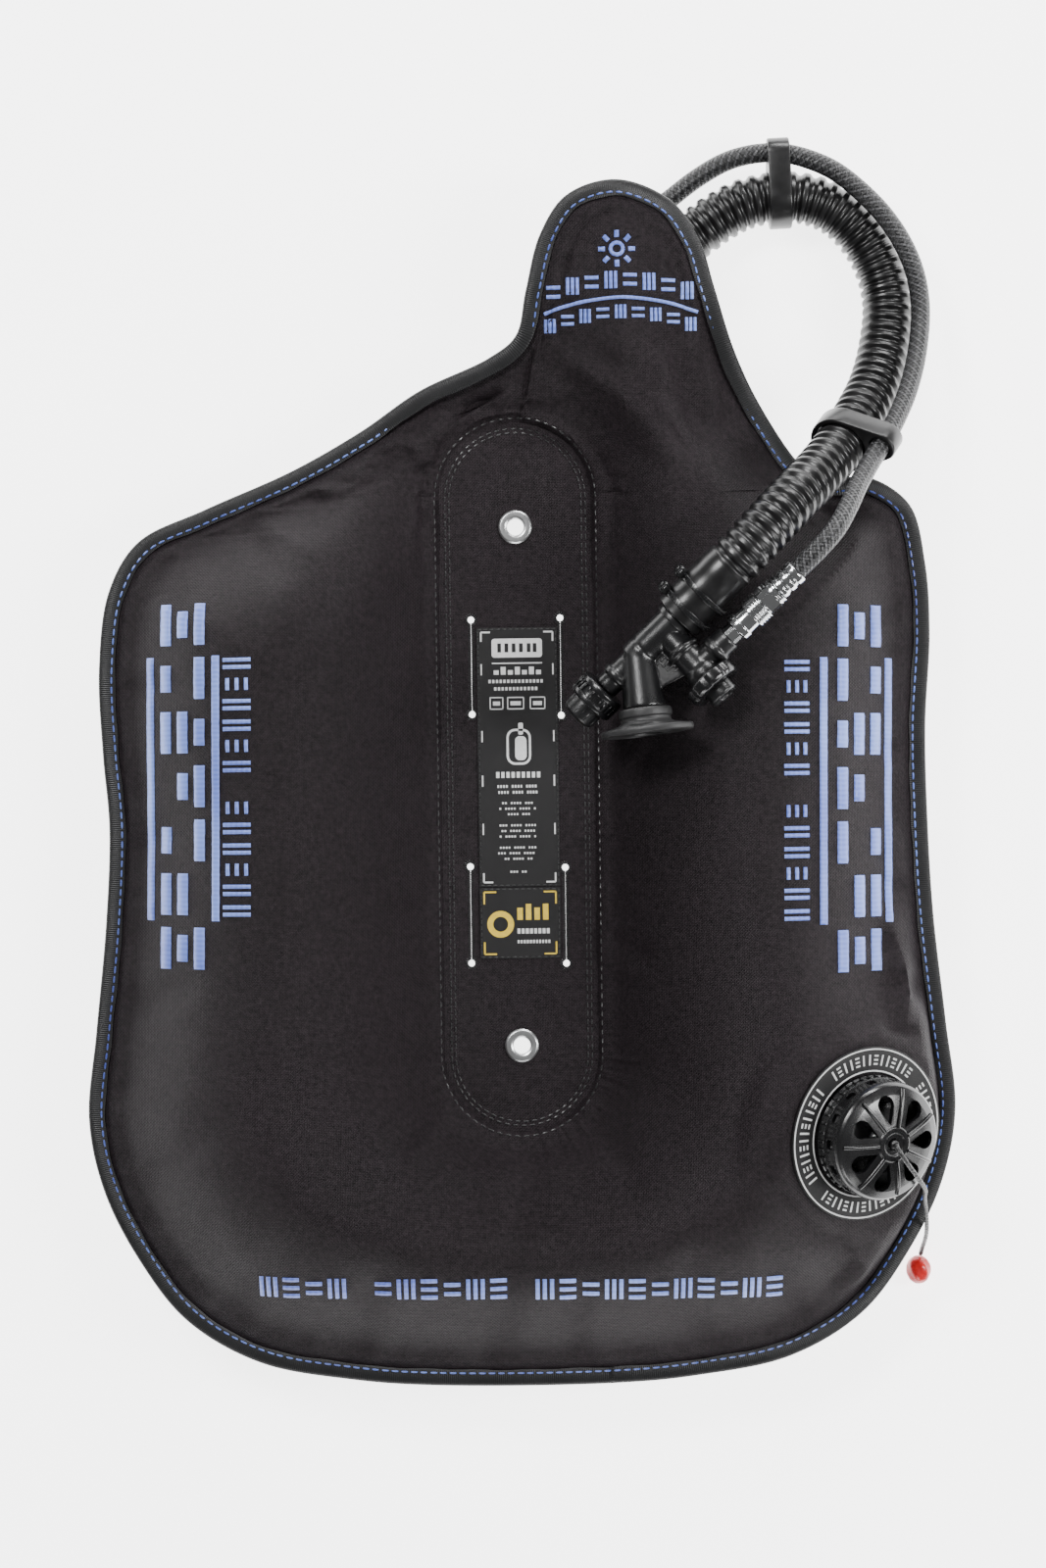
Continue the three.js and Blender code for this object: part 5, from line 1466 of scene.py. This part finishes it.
Shape(VALVE).turned([(33, 0.5), (47, 0.5), (47, 1.7), (33, 1.7), (33, 0.5)], 96, ease=0.3).build(
    "valve_ring_label", LABEL, slot="label", replaces=["dump_ring_label"])
shape = Shape(VALVE)
for inner, outer in ((33.6, 34.4), (45.3, 46.1)):
    shape.turned([(inner, 1.66), (outer, 1.66), (outer, 1.8), (inner, 1.8), (inner, 1.66)], 96, ease=0.03)
for k in range(64):
    if k % 16 in (7, 8):
        continue
    at = turn(2 * math.pi * k / 64, "Z") @ moved(39.9, 0, 1.72)
    if k % 3:
        shape.block((5.8, 1.1, 0.14), matrix=at, ease=0.04)
    else:
        for x in (-2.2, 0.0, 2.2):
            shape.block((1.0, 2.6, 0.14), (x, 0, 0), at, ease=0.04)
shape.build("valve_ring_print", WHITE_INK, slot="label")

base = [
    (27.3, 1.9), (32, 1.9), (32, 3.2), (31.2, 3.8), (31.2, 7.6), (32, 8.2), (32, 9), (17, 9), (17, 5.3),
    (27.3, 5.3), (27.3, 1.9),
]
Shape(VALVE).turned(base, 96, ease=0.3).build(
    "valve_base", GLOSS, slot="moulded", replaces=["dump_base"])

cap = [
    (28, 9.3), (32, 9.3), (32, 18.6), (31.4, 20.4), (30.2, 21.8), (26, 23.8), (20, 25.4), (9.6, 26.6),
    (9.2, 27.5), (6.2, 27.5), (5.8, 26.6), (3.3, 26.6), (3.3, 24.4), (9, 24.1), (20, 22.5), (26.4, 20.6),
    (28, 17), (28, 9.3),
]
cap_piece = Shape(VALVE).turned(cap, 168, ease=0.35).build(
    "valve_cap", GLOSS, slot="moulded", replaces=["dump_cap"])
cutters = []
for k in range(7):
    angle = 2 * math.pi * k / 7
    drop = [(10.6, 0)] + arc(21.6, 0, 4.9, -2.0, 2.0, 22)
    points = [(x, y, z) for z in (17, 31) for x, y in drop]
    n = len(drop)
    faces = [list(range(n))[::-1], list(range(n, 2 * n))]
    faces += [[i, (i + 1) % n, n + (i + 1) % n, n + i] for i in range(n)]
    cutters.append(loose(Shape(VALVE @ turn(angle, "Z")).add(points, faces)))
for k in range(14):
    notch = Shape(VALVE @ turn(2 * math.pi * k / 14, "Z")).block((7, 5, 5.2), (32.4, 0, 14), ease=0.8)
    cutters.append(loose(notch))
carved(cap_piece, *cutters)
cap_piece.data.shade_smooth()
cap_piece.data.set_sharp_from_angle(angle=math.radians(32))
softened = cap_piece.modifiers.new("soften", "BEVEL")
softened.width, softened.segments, softened.angle_limit = 0.28 * MM, 2, math.radians(40)
settle(cap_piece)
cap_piece.data.materials.clear()
cap_piece.data.materials.append(GLOSS)

# Raised ribs on the cap, between the openings.
shape = Shape(VALVE)
for k in range(7):
    at = turn(2 * math.pi * (k + 0.5) / 7, "Z")
    line = [(r, 0, z) for r, z in ((9.5, 26.9), (14, 26.5), (20, 25.6), (25, 24.4), (29, 22.7))]
    line = [tuple(at @ Vector(p)) for p in line]
    shape.tube(spaced(curved(line, fine=6), 14), 1.15, around=12)
for k in range(42):
    shape.block((1.2, 1.5, 5.6), (31.6, 0, 5.4), turn(2 * math.pi * k / 42, "Z"), ease=0.4)
shape.build("valve_ribs", GLOSS, slot="moulded")

poppet_line = [
    (0, 10.6), (20, 10.6), (20, 12.4), (17, 13.2), (2.5, 13.4), (2.5, 27.6), (1.9, 28.5), (0, 28.5),
]
Shape(VALVE).turned(poppet_line, 72, ease=0.3).build(
    "valve_disc", PLASTIC, body="dump_poppet", slot="moulded", replaces=["dump_poppet"])


def spring(name, matrix, radius, wire, low, high, turns, node):
    steps = int(turns * 28)
    angles = [2 * math.pi * turns * k / steps for k in range(steps + 1)]
    line = [
        (radius * math.cos(a), radius * math.sin(a), low + (high - low) * k / steps)
        for k, a in enumerate(angles)]
    return Shape(matrix).tube(line, wire, around=10).build(name, STEEL, slot="stainless", replaces=[node])


def along_z(matrix, height):
    """The direction of a matrix's z axis, and a point that high on it, in metres."""
    return tuple(matrix.to_3x3() @ Vector((0, 0, 1))), tuple(matrix @ Vector((0, 0, height)) * MM)


valve_spring = spring("valve_spring", VALVE, 7, 0.7, 14.4, 22.4, 4, "dump_spring")
axis, seat = along_z(VALVE, 23.1)
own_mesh(valve_spring)
dress("dump_flange", PLASTIC)
dress("dump_seal", RUBBER)
dress("bladder", FILM)

# Pull cord with its ball.
CORD_ROUTE = [
    (195.0, -190.3, 102.6), (195.8, -192.2, 104.2), (198.0, -195.8, 105.0), (201.8, -201.4, 102.4),
    (206.4, -207.6, 97.0), (210.2, -213.0, 89.6), (212.2, -216.8, 81.0), (212.8, -219.8, 72.0),
    (213.6, -223.4, 64.0), (214.8, -228.6, 56.4), (215.8, -234.6, 49.8), (216.6, -240.6, 42.6),
    (217.0, -246.0, 34.0), (217.0, -250.6, 24.6), (216.8, -254.6, 16.0), (216.4, -258.6, 10.6),
]
cord_line = curved(CORD_ROUTE, fine=10)
strands = Shape()
sides, ups = carried(cord_line)
travelled = lengths(cord_line)
strands.tube(cord_line, 1.12, around=14)
for k in range(4):
    twist = travelled * 1.1 + k * math.pi / 2
    wrap = cord_line + 0.82 * (np.cos(twist)[:, None] * sides + np.sin(twist)[:, None] * ups)
    strands.tube(wrap, 0.5, around=6)
pull_cord = strands.build(
    "pull_cord_laid", BLACK_THREAD, body="dump_poppet", slot="cord", replaces=["pull_cord"])

knob = Shape(moved(215.4, -267.4, 8.4) @ turn(math.pi / 2, "X"))
knob_line = [
    (0, -7.8), (2.4, -7.5), (5.2, -5.6), (6.7, -2.4), (6.85, 0), (6.7, 2.4), (5.2, 5.6), (2.4, 7.5), (0, 7.8),
]


def lumps(angle, radius, height):
    """The knob's six soft lobes, a little twisted."""
    return 1 - 0.07 * (0.5 - 0.5 * math.cos(angle * 6 + height * 0.5)) * min(1, radius / 4)


knob.turned(knob_line, 72, ease=1.2, wave=lumps)
knob_piece = knob.build("pull_knob", RED, body="dump_poppet", slot="ball", replaces=["pull_ball"], angle=60)
[tuple(p * MM) for p in cord_line]


# ---------------------------------------------------------------- hoses

CORRUGATED_ROUTE = [
    (71.5, 282.8, 17), (84, 290, 17), (99, 299, 16.9), (112.2, 308.2, 17), (126.2, 315.4, 17.1),
    (142.9, 318.9, 17.1), (161.1, 318, 17), (177.5, 311, 16.6), (190, 299, 16), (199.5, 283, 15.6),
    (204.5, 262, 17.5), (201.8, 237, 25), (195, 214.5, 36), (185, 196, 50), (173, 178.5, 66.5),
    (160, 163, 83), (146.5, 149.5, 98), (133.5, 136, 108), (121.4, 123.2, 112), (110.5, 112.6, 110.7),
    (98.4, 101, 107.8), (84.4, 87.6, 104.55),
]
LP_ROUTE = [
    (14, 128, 8.6), (14, 142, 8.2), (14, 158, 6.6), (15, 178, 5.7), (18, 205, 5.7), (22, 235, 5.7),
    (29, 262, 5.7), (40, 283, 6), (58, 300, 7), (84.5, 318.5, 9), (102, 331, 13), (118, 339, 19),
    (133, 342, 24), (148, 341.8, 26), (161, 338.4, 27.5), (175, 331.8, 29), (188, 321.5, 30),
    (201.3, 307.6, 30.5), (211.7, 291.7, 31), (218.4, 274.8, 31), (220.8, 257, 32.5), (218.4, 234, 40),
    (212, 211, 52), (202, 190, 67), (190.5, 172.5, 82.5), (180.5, 156.5, 98.5), (174, 144, 111),
    (166.5, 131.5, 121), (157.2, 120.8, 123.4), (146.2, 110.3, 120.8),
]
main_line = curved(CORRUGATED_ROUTE)
lp_line = curved(LP_ROUTE)


def corrugation(travelled):
    """The hose's radius along its length: a smooth cuff at each end and rings between."""
    total = travelled[-1]
    pitch = 6.5
    ring = 0.5 + 0.5 * np.cos(travelled * 2 * math.pi / pitch)
    ring = np.clip(1.35 * ring ** 0.8 - 0.12, 0, 1)
    rings = 12.1 + 1.9 * ring
    start = ease(travelled, 20, 23)
    finish_at = 1 - ease(travelled, total - 39, total - 36)
    share = start * finish_at
    cuff = 13.9 + 0.1 * np.cos(travelled * 0.5)
    return np.minimum(rings * share + cuff * (1 - share), 14.0)


fine_line = spaced(main_line, 1300)
radius = corrugation(lengths(fine_line))
radius[0], radius[-1] = radius[0] - 0.7, radius[-1] - 0.7
hose_shape = Shape().tube(fine_line, radius, around=40)
hose_piece = hose_shape.build("inflation_hose", RUBBER, slot="rubber", replaces=["corrugated_hose"], angle=70)

lp_fine = spaced(lp_line, 420)
lp_piece = Shape().tube(lp_fine, 5.25, around=28).build(
    "lp_hose_braided", BRAID, slot="braid", replaces=["lp_hose"], angle=70)


def hoop(line, share):
    """Point and direction at a share of a line's length."""
    travelled = lengths(line)
    at = share * travelled[-1]
    point = np.array([np.interp(at, travelled, line[:, k]) for k in range(3)])
    ahead = np.array([np.interp(at + 1, travelled, line[:, k]) for k in range(3)])
    back_by = np.array([np.interp(at - 1, travelled, line[:, k]) for k in range(3)])
    direction = ahead - back_by
    return Vector(point), Vector(direction / np.linalg.norm(direction))


def aimed(at, direction, towards):
    """A frame with z along a direction and x towards a neighbour."""
    z = direction.normalized()
    y = z.cross(towards).normalized()
    x = y.cross(z)
    matrix = Matrix((x, y, z)).transposed().to_4x4()
    matrix.translation = at
    return matrix


for node, share in (("band_upper", 0.2), ("band_lower", 0.648)):
    at, direction = hoop(main_line, share)
    nearest = min((Vector(p) for p in spaced(lp_line, 401)), key=lambda p: (p - at).length)
    neighbour = nearest - direction * (nearest - at).dot(direction)
    spacing = (neighbour - at).length
    big, small_eye = 14 + 1.45, 5.25 + 1.74
    lean = math.acos((big - small_eye) / spacing)
    outside = arc(0, 0, big + 1.6, lean, 2 * math.pi - lean, 60)
    outside += arc(spacing, 0, small_eye + 1.6, -lean, lean, 30)
    eyes = [arc(0, 0, 14.35, 0, 2 * math.pi, 65)[:-1], arc(spacing, 0, 5.6, 0, 2 * math.pi, 41)[:-1]]
    extruded(
        f"hose_{node}", [outside] + eyes, 12, 0.9, aimed(at, direction, neighbour - at), RUBBER,
        slot="rubber", replaces=[node])


def cable_tie(name, node, matrix):
    """A ratchet tie with its head and clipped tail."""
    shape = Shape(matrix)
    shape.turned([(14.15, -1.6), (15.7, -1.6), (15.7, 1.6), (14.15, 1.6), (14.15, -1.6)], 72, ease=0.3)
    for k in range(60):
        shape.block((0.4, 0.55, 2.2), (15.75, 0, 0), turn(2 * math.pi * k / 60, "Z"), ease=0.1)
    shape.block((6.4, 4.6, 6.0), (0, 17.0, 0), ease=0.8)
    shape.block((3.0, 1.6, 3.0), (-3.6, 18.2, 0), ease=0.5)
    shape.block((3.4, 1.0, 2.6), (1.4, 19.2, 0), ease=0.35)
    return shape.build(name, GLOSS, slot="tie", replaces=[node])


for node, share in (("elbow_tie_1", 0.022), ("elbow_tie_2", 0.046)):
    at, direction = hoop(main_line, share)
    cable_tie(f"{node}_ratchet", node, aimed(at, direction, Vector((0, 0, 1)).cross(direction)))

# Far end of the braided hose.
far_at, far_direction = Vector(LP_ROUTE[0]), hoop(lp_line, 0.0)[1]
FAR = Matrix.Translation(far_at) @ Vector((0, 0, 1)).rotation_difference(-far_direction).to_matrix().to_4x4()
sleeve_line = [
    (0.8, 0.3), (6.5, 0.3), (6.8, 1.2), (6.8, 2.6), (6.2, 3.0), (6.2, 4.4), (6.8, 4.8), (6.8, 8), (6.2, 8.4),
    (6.2, 9.8), (6.8, 10.2), (6.8, 15), (0.8, 15), (0.8, 0.3),
]
far_sleeve = Shape(FAR).turned(sleeve_line, 48, ease=0.25).build(
    "lp_far_sleeve", CHROME, slot="stainless", replaces=["lp_far_ferrule"])
shape = Shape(FAR).turned([(1.8, 15.3), (8.1, 15.3), (8.1, 24.3), (1.8, 24.3), (1.8, 15.3)], 6, ease=0.35)
thread_line = [(1.8, 24.0), (4.6, 24.0)]
for k in range(7):
    thread_line += [(4.1, 25 + k * 1.2), (4.7, 25.6 + k * 1.2)]
thread_line += [(4.2, 33.3), (1.8, 33.3), (1.8, 24.0)]
shape.turned(thread_line, 40, ease=0.0)
far_end = shape.build("lp_far_fitting", CHROME, slot="stainless", replaces=["lp_end_fitting"], angle=30)
dress("lp_o_ring", RUBBER)

# Elbow under the lobe.
ELBOW = moved(58, 275, 0)
nut_top = ELBOW_SEAT - 0.3
nut_line = [
    (13.3, nut_top - 8), (20.6, nut_top - 8), (22, nut_top - 6.6), (22, nut_top), (13.3, nut_top),
    (13.3, nut_top - 8),
]


def flutes(count, depth, sharpness, least):
    """Grooves round a grip, cut only where the radius is over the least."""
    def wave(angle, radius, height):
        if radius <= least:
            return 1
        return 1 - depth * (0.5 + 0.5 * math.cos(angle * count)) ** sharpness
    return wave


Shape(ELBOW).turned(nut_line, 144, ease=0.5, wave=flutes(18, 0.035, 3, 18)).build(
    "elbow_nut_fluted", PLASTIC, slot="moulded", replaces=["elbow_nut"])
heading = math.pi / 6


def outward(distance, height):
    """A point that far along the elbow's heading."""
    return 58 + distance * math.cos(heading), 275 + distance * math.sin(heading), height


bend = [outward(0, nut_top - 8.3), outward(0, 34), outward(1, 27.5), outward(4, 21), outward(8.5, 17.8),
        outward(12, 17), outward(15.3, 17)]
bend_line = spaced(curved(bend), 60)
bend_radius = np.full(60, 12.4)
bend_radius[:6] = 12.9
bend_radius[0], bend_radius[-1] = 12.4, 11.9
Shape().tube(bend_line, bend_radius, around=48).build(
    "elbow_bend", PLASTIC, slot="moulded", replaces=["elbow_body"], angle=50)
dress("elbow_flange", PLASTIC)
dress("elbow_gasket", RUBBER)


# ---------------------------------------------------------------- power inflator

axes = [Vector(v) for v in (
    (0.71172, 0.68207, 0.16805), (-0.64873, 0.72996, -0.21522), (-0.26946, 0.04416, 0.96200))]
INFLATOR = Matrix([a.normalized() for a in axes]).transposed().to_4x4()
INFLATOR.translation = Vector((77, 80.5, 102.8))
ALONG = turn(math.pi / 2, "Y")
BRANCH = turn(math.pi / 2, "X")
MOUTH_ANGLE = math.atan2(-0.805, -0.593)
MOUTH = moved(-18.6) @ turn(MOUTH_ANGLE, "Z") @ ALONG
COUPLING = moved(0, -27) @ ALONG

shape = Shape(INFLATOR)
shape.turned([(0, -14), (8.2, -15), (9, -13), (9, 40), (0, 40)], 56, ALONG, ease=0.5)
shape.turned([(0, -43), (6.8, -43), (6.8, -12), (0, -12)], 48, ALONG, ease=0.3)
shape.turned([(0, -36), (8.2, -36), (8.2, -32.5), (0, -32.5)], 48, ALONG, ease=0.5)
shape.turned([(0, -24), (8.8, -22), (9.3, -15), (0, -14)], 48, ALONG, ease=0.8)
shape.turned([(0, 0), (8, 0), (8, 27), (9.4, 30), (9.4, 34), (0, 34)], 48, BRANCH, ease=0.4)
shape.turned([(0, 13), (9.6, 14), (9.6, 17), (0, 18)], 48, BRANCH, ease=0.6)
shape.turned([(0, -4), (7, -4), (7, 22.5), (0, 22.5)], 48, COUPLING, ease=0.4)
shape.turned([(0, 11), (8.4, 11.5), (8.4, 15), (0, 15.5)], 48, COUPLING, ease=0.5)
shape.turned([(0, 0), (9, 0), (9.8, 9), (11.5, 28), (0, 28)], 56, MOUTH, ease=0.4)
neck = Vector((-18.6 + 23 * math.cos(MOUTH_ANGLE), 23 * math.sin(MOUTH_ANGLE)))
web = [(-18.6, 0), (0, 0), (0, -28), (neck.x, neck.y)]
points = [(x, y, z) for z in (-2.6, 2.6) for x, y in web]
shape.add(points, [[3, 2, 1, 0], [4, 5, 6, 7]] + [[i, (i + 1) % 4, 4 + (i + 1) % 4, 4 + i] for i in range(4)])
body = loose(shape, "inflator_body_moulding")
fused(body, 0.62, 7)
body_mesh = body.data
bpy.data.objects.remove(body)
piece("inflator_moulding", body_mesh, PLASTIC, slot="moulded", replaces=["inflator_body"], angle=60)

shape = Shape(INFLATOR)
grip_ring = [(8.6, -1.7), (10.4, -1.7), (10.4, 1.7), (8.6, 1.7), (8.6, -1.7)]
shape.turned(grip_ring, 56, moved(8) @ ALONG, ease=0.6)
for k in range(5):
    y = -8 - 3.1 * k
    shape.block((max(4.0, 15.5 - abs(k - 1) * 2.2), 0.9, 0.5), (-7.5 + k * 0.35, y, 2.85), ease=0.2)
for k in range(3):
    shape.block((0.9, 12 - 2 * k, 0.5), (-3.6 - 4.4 * k, -14, 2.95), ease=0.2)
shape.build("inflator_trim", PLASTIC, slot="moulded")

mouth_line = [
    (8, 28.3), (13.4, 28.3), (14, 29.4), (14, 32.6), (13.2, 33.2), (13.2, 35.2), (15.5, 36.6), (20.5, 37.6),
    (24.6, 38.2), (25, 39.6), (24.6, 41.4), (21.5, 41.8), (14.5, 40.4), (10.2, 41.6), (8, 41.8), (8, 28.3),
]
flange = Shape()
flange.turned(mouth_line, 96, ease=0.5)
for i, (x, y, z) in enumerate(flange.points):
    r = math.hypot(x, y)
    flange.points[i] = (x * (1 - 0.4 * float(ease(r, 13.5, 24))), y, z)
flange.points = [tuple(INFLATOR @ MOUTH @ Vector(p)) for p in flange.points]
flange.build("mouthpiece_moulding", MATT, slot="rubber", replaces=["mouthpiece"], angle=50)

collar_line = [
    (1.8, -43.3), (12, -43.3), (13, -44.4), (13, -46.6), (12.2, -47.2), (12.2, -51.6), (13, -52.2),
    (13, -54.2), (12.2, -55.3), (9.8, -55.3), (9.8, -45.9), (1.8, -45.9), (1.8, -43.3),
]
shape = Shape(INFLATOR).turned(collar_line, 96, ALONG, ease=0.35)
for k in range(24):
    at = ALONG @ turn(2 * math.pi * k / 24, "Z")
    shape.block((1.0, 1.6, 5.4), (12.55, 0, -49.4), at, ease=0.35)
shape.build("collar_ribbed", GLOSS, slot="moulded", replaces=["end_collar"])

button_line = [
    (0, -64.8), (7.9, -64.8), (9.3, -63.4), (9.3, -51.4), (7.5, -51.4), (7.5, -62.4), (0, -62.4),
]
shape = Shape(INFLATOR).turned(button_line, 72, ALONG, ease=0.5)
for k in range(18):
    at = ALONG @ turn(2 * math.pi * k / 18, "Z")
    shape.block((0.7, 1.3, 6.0), (9.15, 0, -59.6), at, ease=0.3)
shape.build("exhaust_button_cap", PLASTIC, body="exhaust_button", slot="moulded", replaces=["exhaust_button"])

cap_line = [
    (1.8, 34.3), (13.6, 34.3), (15, 35.6), (15, 40.4), (14, 42.0), (12.6, 42.3), (8.5, 42.3), (8.5, 36.1),
    (1.8, 36.1), (1.8, 34.3),
]
Shape(INFLATOR).turned(cap_line, 128, BRANCH, ease=0.4, wave=flutes(8, 0.05, 4, 12)).build(
    "inflate_cap_fluted", GLOSS, slot="moulded", replaces=["inflate_cap"])
push_line = [
    (0, 47.2), (2.8, 47.4), (3.4, 48.3), (7.0, 48.3), (8, 47.4), (8, 39.8), (6.2, 39.8), (6.2, 45.9),
    (0, 45.9),
]
shape = Shape(INFLATOR).turned(push_line, 72, BRANCH, ease=0.4)
for k in range(6):
    shape.block((3.0, 0.8, 0.5), (5.2, 0, 48.2), BRANCH @ turn(math.pi * k / 3, "Z"), ease=0.2)
shape.build("inflate_button_cap", PLASTIC, body="inflate_button", slot="moulded", replaces=["inflate_button"])
for node in ("exhaust_poppet", "inflate_stem"):
    dress(node, PLASTIC)
for node, joint, matrix, height, keep in (
        ("exhaust_spring", "exhaust_button_press", INFLATOR @ ALONG, -45.9, 0.64),
        ("inflate_spring", "inflate_button_press", INFLATOR @ BRANCH, 36.1, 0.62)):
    dress(node, STEEL)
    axis, seat = along_z(matrix, height)
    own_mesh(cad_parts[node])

for node, x in (("hose_tie_1", 17), ("hose_tie_2", 28.7)):
    cable_tie(f"{node}_ratchet", node, INFLATOR @ moved(x) @ turn(0.6, "X") @ ALONG)

dress("qd_nipple", CHROME)
coupling_line = [
    (3.4, 28.3), (7.2, 28.3), (7.8, 28.9), (7.8, 32.2), (7.2, 32.8), (6.9, 32.8), (6.9, 39.0), (6.9, 47.6),
    (7.4, 48), (7.4, 58), (3.4, 58), (3.4, 28.3),
]
shape = Shape(INFLATOR).turned(coupling_line, 64, COUPLING, ease=0.2)
shape.turned([(3.4, 48.2), (8.4, 48.2), (8.4, 54.6), (3.4, 54.6), (3.4, 48.2)], 6, COUPLING, ease=0.3)
tail_line = [
    (3.4, 54.6), (7.7, 54.6), (7.7, 55.6), (7.1, 56.0), (7.7, 56.6), (7.7, 58), (3.4, 58), (3.4, 54.6),
]
shape.turned(tail_line, 64, COUPLING, ease=0.2)
shape.build("coupling_body", CHROME, slot="chrome", replaces=["qd_body"], angle=30)
ring_line = [(7.2, 39.1), (8.4, 39.1), (8.6, 39.5)]
for k in range(4):
    ring_line += [(8.6, 40.4 + k * 1.6), (8.1, 40.7 + k * 1.6), (8.1, 41.2 + k * 1.6), (8.6, 41.5 + k * 1.6)]
ring_line += [(8.6, 46.8), (8.3, 47.1), (7.2, 47.1), (7.2, 39.1)]
Shape(INFLATOR).turned(ring_line, 72, COUPLING, ease=0.12).build(
    "coupling_sleeve", CHROME, body="qd_collar", slot="chrome", replaces=["qd_collar"], angle=25)
crimp_line = [
    (0.8, 58.3), (6.3, 58.3), (6.8, 59), (6.8, 61), (6.1, 61.5), (6.1, 63), (6.8, 63.5), (6.8, 66),
    (6.1, 66.5), (6.1, 68), (6.8, 68.5), (6.8, 71.4), (6.3, 72.3), (0.8, 72.3), (0.8, 58.3),
]
ferrule = Shape(INFLATOR).turned(crimp_line, 56, COUPLING, ease=0.2).build(
    "lp_sleeve", CHROME, slot="chrome", replaces=["lp_ferrule"], angle=30)


# ---------------------------------------------------------------- floor

mesh = bpy.data.meshes.new("floor")
mesh.from_pydata([(-6, -6, -0.0004), (6, -6, -0.0004), (6, 6, -0.0004), (-6, 6, -0.0004)], [], [[0, 1, 2, 3]])
mesh.materials.append(floor_finish())
floor = bpy.data.objects.new("floor", mesh)
bpy.context.scene.collection.objects.link(floor)
